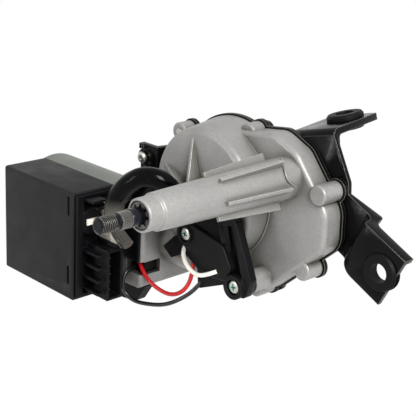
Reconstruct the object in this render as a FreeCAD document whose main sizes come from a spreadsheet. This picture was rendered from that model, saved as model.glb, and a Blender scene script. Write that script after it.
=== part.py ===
"""Rear window wiper motor: a gearmotor with a long splined output shaft.

Frame, in millimetres: the origin is on the output shaft's axis, in the middle of the
splines that the arm sits on. +Y runs along the shaft into the gearbox, +X points away
from the motor can along the armature's axis, and +Z is up.
"""
import FreeCAD, Part
import math
import os

import Sketcher

from FreeCAD import Placement, Rotation, Vector

DOC = FreeCAD.newDocument("WiperMotor")
SHEET = DOC.addObject("Spreadsheet::Sheet", "Sizes")
TURN = 360.0


class Size:
    """A length or angle, as a number and as the sheet expression that drives it."""

    def __init__(self, number, text):
        self.number = float(number)
        self.text = text

    def __add__(self, other):
        other = as_size(other)
        return Size(self.number + other.number, "(%s + %s)" % (self.text, other.text))

    def __sub__(self, other):
        other = as_size(other)
        return Size(self.number - other.number, "(%s - %s)" % (self.text, other.text))

    def __mul__(self, other):
        other = as_size(other)
        return Size(self.number * other.number, "(%s * %s)" % (self.text, other.text))

    def __truediv__(self, other):
        other = as_size(other)
        return Size(self.number / other.number, "(%s / %s)" % (self.text, other.text))

    def __radd__(self, other):
        return as_size(other) + self

    def __rsub__(self, other):
        return as_size(other) - self

    def __rmul__(self, other):
        return as_size(other) * self

    def __neg__(self):
        return Size(-self.number, "(0 - %s)" % self.text)


def as_size(value):
    """A Size as it is, and a plain number as a Size of its own."""
    if isinstance(value, Size):
        return value
    return Size(value, repr(float(value)))


def number(value):
    return as_size(value).number


CELLS = []


def cell(alias, value, note):
    """Write one driving dimension into the sheet and return it."""
    CELLS.append(alias)
    line = len(CELLS)
    SHEET.set("A%d" % line, note)
    SHEET.set("B%d" % line, repr(float(value)))
    SHEET.setAlias("B%d" % line, alias)
    return Size(value, "Sizes." + alias)


# Stations along the output shaft, measured from the middle of the splines
joint_y = cell("joint_y", 121.0, "housing's joint plane")
drum_depth = cell("drum_depth", 26.0, "worm wheel's drum, front face to joint")
chamber_depth = cell("chamber_depth", 12.0, "sector chamber, front face to joint")
mouth_y = cell("mouth_y", 9.4, "mouth of the shaft tube")

# Output shaft
thread_radius = cell("thread_radius", 4.0, "arm nut's M8 thread")
thread_length = cell("thread_length", 8.7, "threaded end with its chamfer")
relief_radius = cell("relief_radius", 3.3, "run-out groove behind the thread")
relief_length = cell("relief_length", 3.0, "length of the run-out groove")
spline_radius = cell("spline_radius", 4.2, "over the splines")
spline_length = cell("spline_length", 6.0, "length of the splines")
neck_radius = cell("neck_radius", 4.4, "plain neck through the seal")
journal_radius = cell("journal_radius", 5.0, "journal in the bushes")
pinion_seat_radius = cell("pinion_seat_radius", 4.7, "seat of the pinion")
link_seat_radius = cell("link_seat_radius", 3.5, "seat of the guide link")
shaft_chamfer = cell("shaft_chamfer", 0.8, "chamfer of the threaded end")
running_clearance = cell("running_clearance", 0.04, "radial, every shaft in its bearing")
axial_clearance = cell("axial_clearance", 0.3, "between pieces that turn past each other")
shaft_seal_length = cell("shaft_seal_length", 3.4, "lip seal behind the mouth")
retainer_thickness = cell("retainer_thickness", 1.4, "retaining ring in the mouth")
retainer_notch = cell("retainer_notch", 1.7, "gaps between the retaining ring's teeth")
retainer_notches = cell("retainer_notches", 8, "teeth of the retaining ring")
bush_length = cell("bush_length", 16.0, "bushes of the output shaft")

# Shaft tube
tube_collar_radius = cell("tube_collar_radius", 8.15, "collar at the mouth")
tube_collar_length = cell("tube_collar_length", 8.0, "length of the collar")
tube_front_radius = cell("tube_front_radius", 9.2, "barrel just behind the collar")
tube_root_radius = cell("tube_root_radius", 11.5, "barrel at the gearbox")
tube_bore_radius = cell("tube_bore_radius", 6.5, "bore for the bushes")
mouth_radius = cell("mouth_radius", 6.95, "recess in the mouth")
mouth_depth = cell("mouth_depth", 2.2, "depth of the recess")
tube_rib_start = cell("tube_rib_start", 55.0, "where the tube's ribs begin")
tube_rib_gap = cell("tube_rib_gap", 11.0, "tube's ribs, short of the chamber")
tube_rib_low = cell("tube_rib_low", 12.4, "ribs' tip radius at their start")
tube_rib_high = cell("tube_rib_high", 15.2, "ribs' tip radius at their end")
rib_thickness = cell("rib_thickness", 1.7, "casting ribs")
tube_rib_count = cell("tube_rib_count", 6, "ribs round the tube")

# Gear train
tooth_module = cell("tooth_module", 1.25, "module of every gear")
wheel_teeth = cell("wheel_teeth", 52, "worm wheel")
pinion_teeth = cell("pinion_teeth", 12, "pinion on the output shaft")
sector_teeth = cell("sector_teeth", 28, "full circle of the sector")
wheel_x = cell("wheel_x", -47.5, "worm wheel's axis, across")
wheel_z = cell("wheel_z", -19.0, "worm wheel's axis, height")
worm_pitch_radius = cell("worm_pitch_radius", 5.5, "worm")
armature_depth = cell("armature_depth", 16.0, "armature's axis to joint")
wheel_width = cell("wheel_width", 9.0, "face width of the worm wheel")
worm_length = cell("worm_length", 31.0, "threaded length of the worm")
crank_radius = cell("crank_radius", 9.0, "crank pin from the wheel's axis")
crank_pin_radius = cell("crank_pin_radius", 3.5, "crank pin")
axle_radius = cell("axle_radius", 4.0, "fixed axle of the worm wheel")
pivot_radius = cell("pivot_radius", 3.0, "pin between guide link and sector")
sector_thickness = cell("sector_thickness", 4.0, "sector rod and pinion")
link_thickness = cell("link_thickness", 1.8, "guide link")
eye_radius = cell("eye_radius", 7.5, "eyes of the rod and the link")
backlash = cell("backlash", 0.16, "taken off each spur tooth")
wheel_rim = cell("wheel_rim", 4.0, "rim of the worm wheel under its teeth")
wheel_hub = cell("wheel_hub", 4.0, "hub of the worm wheel round its axle")
wheel_hollow = cell("wheel_hollow", 2.0, "hollow in the worm wheel's front face")

# Housing
wall = cell("wall", 2.5, "casting wall")
drum_front_radius = cell("drum_front_radius", 36.4, "drum at its front face")
drum_root_radius = cell("drum_root_radius", 40.0, "drum at the joint plane")
drum_edge_radius = cell("drum_edge_radius", 4.0, "rounded rim of the drum")
wheel_room = cell("wheel_room", 0.9, "round the worm wheel")
tunnel_radius = cell("tunnel_radius", 12.5, "outside of the worm tunnel")
tunnel_room = cell("tunnel_room", 1.0, "round the worm")
tunnel_end_x = cell("tunnel_end_x", -20.0, "closed end of the worm tunnel")
flange_gap = cell("flange_gap", 67.0, "can's joint from the wheel's axis")
block_width = cell("block_width", 37.5, "motor block, across")
block_depth = cell("block_depth", 41.0, "motor block, front face to joint")
block_bottom_z = cell("block_bottom_z", -81.5, "underside of the motor block")
block_top_z = cell("block_top_z", -44.0, "top of the motor block")
boss_radius = cell("boss_radius", 5.4, "cover screw bosses")
boss_length = cell("boss_length", 15.0, "cover screw bosses")
screw_radius = cell("screw_radius", 1.9, "shank of the cover screws")
screw_depth = cell("screw_depth", 9.0, "screw's engagement in the casting")
screw_head_radius = cell("screw_head_radius", 3.9, "screw heads")
screw_head_height = cell("screw_head_height", 2.6, "screw heads")
seat_clearance = cell("seat_clearance", 0.05, "fixed pieces in their holes")
centre_boss_radius = cell("centre_boss_radius", 7.5, "boss in the middle of the drum")
centre_boss_length = cell("centre_boss_length", 10.0, "boss in the middle of the drum")
switch_boss_radius = cell("switch_boss_radius", 6.2, "casting boss under the switch cover")
slot_rise = cell("slot_rise", 16.0, "top of the lead slot over the block's underside")
slot_length = cell("slot_length", 13.0, "lead slot, across")
slot_height = cell("slot_height", 8.0, "lead slot in the motor block")
ear_offset = cell("ear_offset", 8.5, "screw of the bracket's ear from the can's joint")
ear_screw_z = cell("ear_screw_z", -13.5, "screw of the bracket's ear, height")
ear_depth = cell("ear_depth", 13.5, "seat of the bracket's ear to joint")

# Rear cover and its seal
gasket_thickness = cell("gasket_thickness", 0.8, "seal in the joint")
cover_thickness = cell("cover_thickness", 2.4, "rear cover")
cover_lip = cell("cover_lip", 1.0, "cover's edge past the casting")

# Motor
can_radius = cell("can_radius", 25.0, "outside of the can")
can_wall = cell("can_wall", 1.6, "steel of the can")
can_length = cell("can_length", 81.5, "can, without its bearing cup")
can_edge_radius = cell("can_edge_radius", 4.5, "rounded end of the can")
can_cup_radius = cell("can_cup_radius", 9.0, "bearing cup in the can's end")
can_cup_length = cell("can_cup_length", 5.0, "bearing cup in the can's end")
armature_radius = cell("armature_radius", 4.0, "armature shaft")
core_radius = cell("core_radius", 16.8, "armature laminations")
core_length = cell("core_length", 38.0, "armature laminations")
core_inset = cell("core_inset", 16.0, "laminations from the can's closed end")
commutator_radius = cell("commutator_radius", 9.0, "commutator")
commutator_length = cell("commutator_length", 13.0, "commutator")
commutator_gap = cell("commutator_gap", 9.0, "laminations to commutator")
core_slot_depth = cell("core_slot_depth", 7.0, "slots of the laminations")
core_slot_width = cell("core_slot_width", 1.8, "slots of the laminations")
magnet_gap = cell("magnet_gap", 0.8, "air gap at the magnets")
magnet_split = cell("magnet_split", 10.0, "between the two magnets")
card_setback = cell("card_setback", 3.0, "brush card from the can's joint")
bearing_setback = cell("bearing_setback", 15.5, "flange bearing from the can's joint")
bearing_radius = cell("bearing_radius", 7.0, "outside of the armature's bearings")
bearing_length = cell("bearing_length", 7.0, "armature's bearings")
thrust_length = cell("thrust_length", 2.0, "thrust pad at the worm's end")

# Control module
module_overlap = cell("module_overlap", 18.9, "module cover's open end past the can's joint")
module_width = cell("module_width", 65.0, "module cover, across")
module_reach = cell("module_reach", 76.0, "front of the module cover to joint")
module_depth = cell("module_depth", 29.8, "module cover, front to back")
module_bottom_z = cell("module_bottom_z", -85.8, "underside of the module cover")
module_height = cell("module_height", 63.8, "module cover")
module_wall = cell("module_wall", 1.8, "moulded walls")
module_edge = cell("module_edge", 1.6, "rounded edges of the cover")
shroud_length = cell("shroud_length", 16.4, "connector shroud past the cover")
shroud_width = cell("shroud_width", 10.7, "connector shroud, front to back")
shroud_height = cell("shroud_height", 32.1, "connector shroud")
shroud_offset = cell("shroud_offset", 12.3, "shroud from the front of the cover")
latch_inset = cell("latch_inset", 3.0, "latch windows from the cover's open edge")
latch_width = cell("latch_width", 2.2, "latch windows")
latch_height = cell("latch_height", 11.0, "latch windows")
base_recess = cell("base_recess", 2.2, "module base inside the cover's open end")
base_thickness = cell("base_thickness", 2.6, "module base plate")
base_rim = cell("base_rim", 1.9, "module base's rim past the cover")
base_rim_wall = cell("base_rim_wall", 1.5, "wall of that rim")
base_border = cell("base_border", 4.4, "border of the base in front of its recess")
gland_radius = cell("gland_radius", 7.5, "round gland in the module's base")
gland_offset = cell("gland_offset", 12.0, "gland from the front of the cover")
gland_rise = cell("gland_rise", 46.0, "gland over the underside of the cover")
holder_length = cell("holder_length", 15.4, "terminal holder past the base")
holder_height = cell("holder_height", 21.0, "terminal holder")
blade_inset = cell("blade_inset", 6.0, "blades behind the shroud's mouth")

# Switch cover
switch_high_x = cell("switch_high_x", -46.7, "upper screw of the switch cover, across")
switch_high_z = cell("switch_high_z", -39.5, "upper screw of the switch cover, height")
switch_low_x = cell("switch_low_x", -10.1, "lower screw of the switch cover, across")
switch_low_z = cell("switch_low_z", -58.9, "lower screw of the switch cover, height")
switch_reach = cell("switch_reach", 36.0, "front face of the switch cover to joint")

# Bracket
steel = cell("steel", 2.5, "bracket sheet")
grommet_radius = cell("grommet_radius", 10.0, "rubber grommets")
grommet_bore = cell("grommet_bore", 5.0, "hole through the grommets")
grommet_waist = cell("grommet_waist", 7.0, "grommet in the bracket's hole")
upper_grommet_length = cell("upper_grommet_length", 8.5, "upper grommet")
lower_grommet_length = cell("lower_grommet_length", 6.0, "lower grommet")
top_lean = cell("top_lean", 14.4, "slope of the upper arm, in degrees")
top_rise = cell("top_rise", 6.0, "rise of the upper plate towards its end, in degrees")
top_width = cell("top_width", 28.0, "width of the upper arm")
top_length = cell("top_length", 37.0, "upper plate")
top_hole_reach = cell("top_hole_reach", 26.6, "upper grommet from the bend")
top_hole_across = cell("top_hole_across", 15.2, "upper grommet from the arm's left edge")
low_lean = cell("low_lean", 25.5, "slope of the lower arm, in degrees")
low_width = cell("low_width", 30.0, "width of the lower arm")
low_start = cell("low_start", 24.5, "step of the lower arm from its root")
low_end = cell("low_end", 53.5, "end of the lower arm from its root")
low_step = cell("low_step", 8.2, "how far the lower plate steps forward")
low_hole_reach = cell("low_hole_reach", 45.2, "lower grommet from the arm's root")
bracket_flange = cell("bracket_flange", 4.2, "stiffening edge of the bracket")
bracket_lip = cell("bracket_lip", 1.2, "edge of the upper plate")
web_flange = cell("web_flange", 1.8, "stiffening edge of the upper arm's web")
ear_screw_radius = cell("ear_screw_radius", 3.4, "head of the ear's screw")
ear_radius = cell("ear_radius", 5.0, "rounded end of the bracket's ear")
bend_radius = cell("bend_radius", 2.0, "inside radius of the bends")
lower_edge_start = cell("lower_edge_start", 5.0, "stiffening edge of the lower arm from its root")

# Leads and breather
elbow_radius = cell("elbow_radius", 5.4, "rubber breather elbow")
elbow_tip_radius = cell("elbow_tip_radius", 3.1, "outlet of the breather elbow")
lead_radius = cell("lead_radius", 1.2, "insulated leads")
DOC.recompute()


# Drawing helpers
def pin_down(item, field, value):
    item.setExpression(field, as_size(value).text)


def place(item, x=0, y=0, z=0):
    """Put an object at a spot given by sizes."""
    for axis, value in (("x", x), ("y", y), ("z", z)):
        pin_down(item, "Placement.Base." + axis, value)


def new_body(label, x=0, y=0, z=0):
    body = DOC.addObject("PartDesign::Body", label)
    body.Label = label
    place(body, x, y, z)
    return body


def new_sketch(body, role, name, offset=0):
    """A sketch on one of the body's own origin planes, moved along its normal."""
    sketch = body.newObject("Sketcher::SketchObject", name)
    plane = [item for item in body.Origin.OriginFeatures if item.Role == role][0]
    sketch.AttachmentSupport = [(plane, "")]
    sketch.MapMode = "FlatFace"
    pin_down(sketch, "AttachmentOffset.Base.z", offset)
    return sketch


def fix_point(sketch, index, corner, across, up):
    """Tie one point of a sketch to the sketch's origin."""
    for kind, value in (("DistanceX", across), ("DistanceY", up)):
        rule = Sketcher.Constraint(kind, -1, 1, index, corner, number(value))
        place_of_rule = sketch.addConstraint(rule)
        pin_down(sketch, "Constraints[%d]" % place_of_rule, value)


def draw_loop(sketch, corners):
    """A closed loop of straight lines through corners (across, up)."""
    first = sketch.GeometryCount
    count = len(corners)
    spots = [Vector(number(across), number(up), 0) for across, up in corners]
    for index in range(count):
        sketch.addGeometry(Part.LineSegment(spots[index], spots[(index + 1) % count]), False)
    for index in range(count):
        after = first + (index + 1) % count
        sketch.addConstraint(Sketcher.Constraint("Coincident", first + index, 2, after, 1))
    for index, (across, up) in enumerate(corners):
        fix_point(sketch, first + index, 1, across, up)


def draw_circle(sketch, across, up, radius):
    centre = Vector(number(across), number(up), 0)
    index = sketch.addGeometry(Part.Circle(centre, Vector(0, 0, 1), number(radius)), False)
    fix_point(sketch, index, 3, across, up)
    rule = sketch.addConstraint(Sketcher.Constraint("Radius", index, number(radius)))
    pin_down(sketch, "Constraints[%d]" % rule, radius)


def draw_box(sketch, left, right, low, high):
    draw_loop(sketch, [(left, low), (right, low), (right, high), (left, high)])


def add_pad(body, sketch, length, backwards=False):
    feature = body.newObject("PartDesign::Pad", sketch.Name + "Pad")
    feature.Profile = sketch
    feature.Reversed = backwards
    pin_down(feature, "Length", length)
    return feature


def add_pocket(body, sketch, length, backwards=False):
    feature = body.newObject("PartDesign::Pocket", sketch.Name + "Pocket")
    feature.Profile = sketch
    feature.Reversed = backwards
    pin_down(feature, "Length", length)
    return feature


def add_pattern(body, feature, axis, count):
    """Repeat one feature evenly round one of the body's origin axes."""
    pattern = body.newObject("PartDesign::PolarPattern", feature.Name + "Ring")
    pattern.Originals = [feature]
    pattern.Axis = ([item for item in body.Origin.OriginFeatures if item.Role == axis][0], [""])
    pattern.Angle = TURN
    pin_down(pattern, "Occurrences", count)
    body.Tip = pattern
    return pattern


def turned(label, axis, profile, x=0, y=0, z=0):
    """A body of revolution about X or Y from a profile of (along, radius)."""
    role = {"X": "XY_Plane", "Y": "YZ_Plane"}[axis]
    body = new_body(label, x, y, z)
    sketch = new_sketch(body, role, label + "_profile")
    draw_loop(sketch, profile)
    feature = body.newObject("PartDesign::Revolution", label + "_turn")
    feature.Profile = sketch
    feature.ReferenceAxis = (sketch, ["H_Axis"])
    feature.Angle = TURN
    return body


def ring(label, axis, inner, outer, length, x=0, y=0, z=0):
    """A plain ring or bush whose near end is at the given spot."""
    profile = [(0, inner), (length, inner), (length, outer), (0, outer)]
    return turned(label, axis, profile, x, y, z)


def shaped(label, shape):
    """A piece whose form no sketch or primitive holds well."""
    item = DOC.addObject("Part::Feature", label)
    item.Label = label
    item.Shape = shape
    return item


def fused(shapes):
    """One shape from many that overlap, joined one after another."""
    whole = shapes[0]
    for shape in shapes[1:]:
        whole = whole.fuse(shape)
    return whole


def solid_of(shape):
    """The single solid inside a boolean's compound."""
    return shape.Solids[0] if len(shape.Solids) == 1 else shape


def rod(axis, radius, start, length, x=0.0, y=0.0, z=0.0):
    """A cylinder along an axis from its own coordinate start, centred on the other two."""
    direction = {"X": Vector(1, 0, 0), "Y": Vector(0, 1, 0), "Z": Vector(0, 0, 1)}[axis]
    base = Vector(x, y, z) + direction * start
    return Part.makeCylinder(radius, length, base, direction)


def block(x, y, z):
    """A box from three (low, high) pairs."""
    low = Vector(x[0], y[0], z[0])
    return Part.makeBox(x[1] - x[0], y[1] - y[0], z[1] - z[0], low)


def rounded_face(corners, frame=None):
    """A flat face through corners (across, up, radius), rounded, in the frame's X-Z plane."""
    frame = frame or Placement()
    edges = []
    count = len(corners)
    joints = []
    for index, (across, up, radius) in enumerate(corners):
        here = Vector(across, 0, up)
        before = Vector(corners[index - 1][0], 0, corners[index - 1][1]) - here
        after_corner = corners[(index + 1) % count]
        after = Vector(after_corner[0], 0, after_corner[1]) - here
        half = before.getAngle(after) / 2
        before.normalize()
        after.normalize()
        reach = radius / math.tan(half)
        middle = (before + after).normalize() * (radius / math.sin(half) - radius)
        joints.append((here + before * reach, here + middle, here + after * reach, radius))
    for index, (start, middle, end, radius) in enumerate(joints):
        if radius > 0:
            edges.append(Part.Arc(start, middle, end).toShape())
        following = joints[(index + 1) % count][0]
        if (following - end).Length > 1e-6:
            edges.append(Part.LineSegment(end, following).toShape())
    face = Part.Face(Part.Wire(edges))
    face.Placement = frame
    return face


def rounded_plate(corners, start, depth):
    """A plate of rounded outline in X-Z, from depth start along +Y."""
    face = rounded_face(corners, Placement(Vector(0, start, 0), Rotation()))
    return face.extrude(Vector(0, depth, 0))


def smoothed(points):
    """Straight runs joined by tangent arcs; also the arcs' radii."""
    edges = []
    radii = []
    last = points[0]
    for index in range(1, len(points) - 1):
        here = points[index]
        before = points[index - 1] - here
        after = points[index + 1] - here
        half = before.getAngle(after) / 2
        reach = 0.45 * min(before.Length, after.Length)
        radius = reach * math.tan(half)
        before.normalize()
        after.normalize()
        middle = here + (before + after).normalize() * (radius / math.sin(half) - radius)
        start = here + before * reach
        end = here + after * reach
        edges.append(Part.LineSegment(last, start).toShape())
        edges.append(Part.Arc(start, middle, end).toShape())
        radii.append(radius)
        last = end
    edges.append(Part.LineSegment(last, points[-1]).toShape())
    return Part.Wire(edges), radii


def hose(points, radius):
    """A round bar along a smoothed route; also the route and its radii."""
    route, radii = smoothed(points)
    start = route.Edges[0]
    heading = start.tangentAt(start.FirstParameter)
    circle = Part.Wire(Part.makeCircle(radius, points[0], heading))
    tube = route.makePipeShell([circle], True, False)
    return tube, route, radii


# Places worked out from the driving sizes
drum_face_y = joint_y - drum_depth
sector_face_y = joint_y - chamber_depth
worm_y = joint_y - armature_depth
block_front_y = joint_y - block_depth
ear_face_y = joint_y - ear_depth
switch_front_y = joint_y - switch_reach
module_front_y = joint_y - module_reach
flange_x = wheel_x - flange_gap
block_end_x = flange_x + block_width
ear_screw_x = flange_x + ear_offset
can_end_x = flange_x - can_length
core_start_x = can_end_x + core_inset
module_right_x = flange_x + module_overlap
module_left_x = module_right_x - module_width
slot_top_z = block_bottom_z + slot_rise
wheel_pitch_radius = tooth_module * wheel_teeth / 2
pinion_pitch_radius = tooth_module * pinion_teeth / 2
sector_pitch_radius = tooth_module * sector_teeth / 2
link_reach = pinion_pitch_radius + sector_pitch_radius
worm_z = wheel_z - wheel_pitch_radius - worm_pitch_radius
thread_tip_y = 0 - spline_length / 2 - relief_length - thread_length
spline_end_y = spline_length / 2
chamber_floor_y = sector_face_y + wall
cover_inside_y = joint_y + gasket_thickness
cover_back_y = cover_inside_y + cover_thickness
wheel_front_y = worm_y - wheel_width / 2
wheel_back_y = wheel_front_y + wheel_width
gear_front_y = wheel_back_y + axial_clearance * 4 + 1.8
gear_back_y = gear_front_y + sector_thickness
link_front_y = gear_back_y + axial_clearance
link_back_y = link_front_y + link_thickness
pivot_x = as_size(0)
pivot_z = 0 - link_reach
commutator_x = core_start_x + core_length + commutator_gap
switch_post_end = switch_front_y.number + 12.0
flange_bearing_start = (flange_x + bearing_setback).number
flange_bearing_end = flange_bearing_start + bearing_length.number
face_of_axle = drum_face_y.number - 3.0
switch_screw_holes = [
    (switch_high_x.number, switch_high_z.number, drum_face_y.number - 1, 3.2),
    (switch_low_x.number, switch_low_z.number, switch_post_end - 1, 10.0),
]

TOOTH_LEAN = math.radians(20)
CHAMBER = [(-40, 17, 8), (-10, 21.5, 12), (6, 14.5, 10), (28.5, -12, 13), (29.5, -32, 12),
           (-8, -66.5, 9), (-28, -71, 5), (-52, -32, 3)]
BOSSES = [("boss_a", -84.5, 5.5, 0.6), ("boss_b", -31.5, 16.5, 0.6), ("boss_c", 23.5, -3.0, 0.95),
          ("boss_d", 15.0, -47.5, 0.75), ("boss_e", -16.0, -67.0, 0.8)]
BRACKET_BOSSES = ("boss_b", "boss_c", "boss_e")
boss_places = []
for boss_name, across, up, share in BOSSES:
    boss_x = cell(boss_name + "_x", across, "cover screw, across")
    boss_z = cell(boss_name + "_z", up, "cover screw, height")
    boss_places.append((boss_x.number, boss_z.number, boss_length.number * share))


# Output shaft and what turns with it
def output_shaft():
    tip = thread_tip_y
    relief = 0 - spline_length / 2
    seal_end = mouth_y + mouth_depth + shaft_seal_length + axial_clearance * 3
    seat = gear_front_y - axial_clearance
    end = link_back_y + axial_clearance * 2
    profile = [
        (tip, 0),
        (tip, thread_radius - shaft_chamfer),
        (tip + shaft_chamfer, thread_radius),
        (relief - relief_length, thread_radius),
        (relief - relief_length + 0.4, relief_radius),
        (relief, relief_radius),
        (relief, spline_radius),
        (spline_end_y, spline_radius),
        (spline_end_y, neck_radius),
        (seal_end, neck_radius),
        (seal_end, journal_radius),
        (seat, journal_radius),
        (seat, pinion_seat_radius),
        (gear_back_y, pinion_seat_radius),
        (gear_back_y, link_seat_radius),
        (end, link_seat_radius),
        (end, 0),
    ]
    return turned("output_shaft", "Y", profile)


def retaining_ring():
    """A ring with inner teeth that grip the neck, seen in the mouth of the tube."""
    start = mouth_y + mouth_depth - retainer_thickness - axial_clearance
    outer = mouth_radius - axial_clearance * 2
    body = ring("retaining_ring", "Y", neck_radius, outer, retainer_thickness, 0, start, 0)
    sketch = new_sketch(body, "XZ_Plane", "retaining_ring_notch")
    draw_box(sketch, 0 - retainer_notch / 2, retainer_notch / 2, neck_radius - 1, neck_radius + 1.3)
    notch = add_pocket(body, sketch, retainer_thickness, backwards=False)
    add_pattern(body, notch, "Y_Axis", retainer_notches)
    return body


def involute_point(base, radius, turn):
    """A point of an involute flank at a radius, turned about the centre."""
    roll = math.sqrt(max(radius * radius / (base * base) - 1, 0))
    angle = roll - math.atan(roll) + turn
    return radius * math.cos(angle), radius * math.sin(angle)


def gear_corners(teeth, first, last, tip_share=0.8, root_share=1.1):
    """Corners of involute teeth numbered first to last; tooth 0 is centred on +X."""
    scale = tooth_module.number
    pitch = scale * teeth / 2
    base = pitch * math.cos(TOOTH_LEAN)
    tip = pitch + tip_share * scale
    root = pitch - root_share * scale
    thickness = math.pi * scale / 2 - backlash.number
    half = thickness / 2 / pitch + math.tan(TOOTH_LEAN) - TOOTH_LEAN
    start = max(base, root)
    radii = [start + (tip - start) * share for share in (0, 0.33, 0.66, 1)]
    corners = []
    for tooth in range(first, last + 1):
        middle = 2 * math.pi * tooth / teeth
        rising = []
        if root < base:
            rising.append((root * math.cos(middle - half), root * math.sin(middle - half)))
        for radius in radii:
            x, y = involute_point(base, radius, -half)
            rising.append((x * math.cos(middle) - y * math.sin(middle),
                           x * math.sin(middle) + y * math.cos(middle)))
        falling = []
        for x, y in reversed(rising):
            across = x * math.cos(2 * middle) + y * math.sin(2 * middle)
            along = x * math.sin(2 * middle) - y * math.cos(2 * middle)
            falling.append((across, along))
        corners += rising + falling
    return corners


def flat_wire(corners, y=0.0):
    """A closed wire through corners (x, z) at depth y."""
    points = [Vector(x, y, z) for x, z in corners]
    return Part.makePolygon(points + points[:1])


def pinion():
    teeth = int(pinion_teeth.number)
    corners = gear_corners(teeth, 0, teeth - 1)
    turned_half = math.pi / 2 + math.pi / teeth
    spun = []
    for x, z in corners:
        across = x * math.cos(turned_half) - z * math.sin(turned_half)
        up = x * math.sin(turned_half) + z * math.cos(turned_half)
        spun.append((across, up))
    gear = Part.Face(flat_wire(spun, gear_front_y.number))
    gear = gear.extrude(Vector(0, sector_thickness.number, 0))
    bore = rod("Y", pinion_seat_radius.number, gear_front_y.number - 1, sector_thickness.number + 2)
    return shaped("pinion", solid_of(gear.cut(bore)))


# Guide link and toothed sector
def guide_link():
    reach = link_reach.number
    start = link_front_y.number
    thick = link_thickness.number
    eye = eye_radius.number
    plate = fused([
        rod("Y", eye, start, thick),
        rod("Y", eye, start, thick, 0, 0, -reach),
        block((-eye * 0.8, eye * 0.8), (start, start + thick), (-reach, 0)),
    ])
    hole = rod("Y", link_seat_radius.number + running_clearance.number, start - 1, thick + 2)
    pin_hole = rod("Y", pivot_radius.number, start - 1, thick + 2, 0, 0, -reach)
    return shaped("guide_link", solid_of(plate.cut(hole).cut(pin_hole)))


def sector_rod():
    """The toothed sector and the rod that runs from it to the crank pin."""
    teeth = int(sector_teeth.number)
    centre = Vector(0, 0, pivot_z.number)
    crank = Vector(wheel_x.number, 0, wheel_z.number - crank_radius.number)
    start = gear_front_y.number
    thick = sector_thickness.number
    reach = sector_teeth.number * tooth_module.number / 2
    corners = gear_corners(teeth, -3, 3)
    shifted = [(-z, centre.z + x) for x, z in corners]
    toothed = Part.Face(flat_wire(shifted + [(0, centre.z)], start)).extrude(Vector(0, thick, 0))
    eye = eye_radius.number
    hub = rod("Y", eye, start, thick, centre.x, 0, centre.z)
    far_eye = rod("Y", eye, start, thick, crank.x, 0, crank.z)
    along = (crank - centre).normalize()
    side = Vector(-along.z, 0, along.x) * (eye * 0.72)
    strip = [centre + side, crank + side, crank - side, centre - side]
    strap = Part.Face(flat_wire([(p.x, p.z) for p in strip], start)).extrude(Vector(0, thick, 0))
    whole = fused([toothed, hub, far_eye, strap])
    gap = running_clearance.number
    pivot = rod("Y", pivot_radius.number + gap, start - 1, thick + 2, centre.x, 0, centre.z)
    crank_hole = rod("Y", crank_pin_radius.number + gap, start - 1, thick + 2, crank.x, 0, crank.z)
    return shaped("sector_rod", solid_of(whole.cut(pivot).cut(crank_hole)))


# Worm wheel
def worm_wheel():
    """A moulded wheel with slanted teeth, a thin web and a hub."""
    teeth = int(wheel_teeth.number)
    pitch = wheel_pitch_radius.number
    scale = tooth_module.number
    tip = pitch + 0.8 * scale
    root = pitch - 1.1 * scale
    space = math.pi * scale * 0.56
    lean = math.tan(TOOTH_LEAN)
    half_tip = (math.pi * scale - space) / 2 / pitch - 0.8 * scale * lean / tip
    half_root = (math.pi * scale - space) / 2 / pitch + 1.1 * scale * lean / root
    corners = []
    for tooth in range(teeth):
        middle = 2 * math.pi * (tooth + 0.5) / teeth - math.pi / 2
        for radius, offset in ((root, -half_root), (tip, -half_tip), (tip, half_tip), (root, half_root)):
            angle = middle + offset
            corners.append((radius * math.cos(angle), radius * math.sin(angle)))
    lead = scale / 2 / worm_pitch_radius.number
    width = wheel_width.number
    twist = math.degrees(lead * width / pitch)
    front = flat_wire(corners)
    back = flat_wire(corners, width)
    front.rotate(Vector(0, 0, 0), Vector(0, 1, 0), -twist / 2)
    back.rotate(Vector(0, 0, 0), Vector(0, 1, 0), twist / 2)
    rim = Part.makeLoft([front, back], True, True)
    rim.translate(Vector(wheel_x.number, wheel_front_y.number, wheel_z.number))
    x, z = wheel_x.number, wheel_z.number
    hub_radius = axle_radius.number + wheel_hub.number
    rim_inside = root - wheel_rim.number
    hollow = wheel_hollow.number
    room = rod("Y", rim_inside, wheel_front_y.number - 1, hollow + 1, x, 0, z)
    room = room.cut(rod("Y", hub_radius, wheel_front_y.number - 2, hollow + 3, x, 0, z))
    bore = rod("Y", axle_radius.number + running_clearance.number, 0, joint_y.number, x, 0, z)
    pin = rod("Y", crank_pin_radius.number - 0.5, wheel_front_y.number + 4, width, x, 0,
              z - crank_radius.number)
    return shaped("worm_wheel", solid_of(rim.cut(room).cut(bore).cut(pin)))


def worm_wheel_pieces():
    x, z = wheel_x, wheel_z
    foot = wheel_front_y + 4
    step = wheel_back_y
    top = gear_front_y - axial_clearance
    pin = [
        (foot, 0), (foot, crank_pin_radius - 0.5), (step, crank_pin_radius - 0.5),
        (step, crank_pin_radius), (top, crank_pin_radius), (top, 0),
    ]
    turned("crank_pin", "Y", pin, x, 0, z - crank_radius)
    start = drum_face_y - 3
    end = wheel_back_y + axial_clearance
    axle = [(start, 0), (start, axle_radius), (end, axle_radius), (end, 0)]
    turned("wheel_axle", "Y", axle, x, 0, z)


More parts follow.
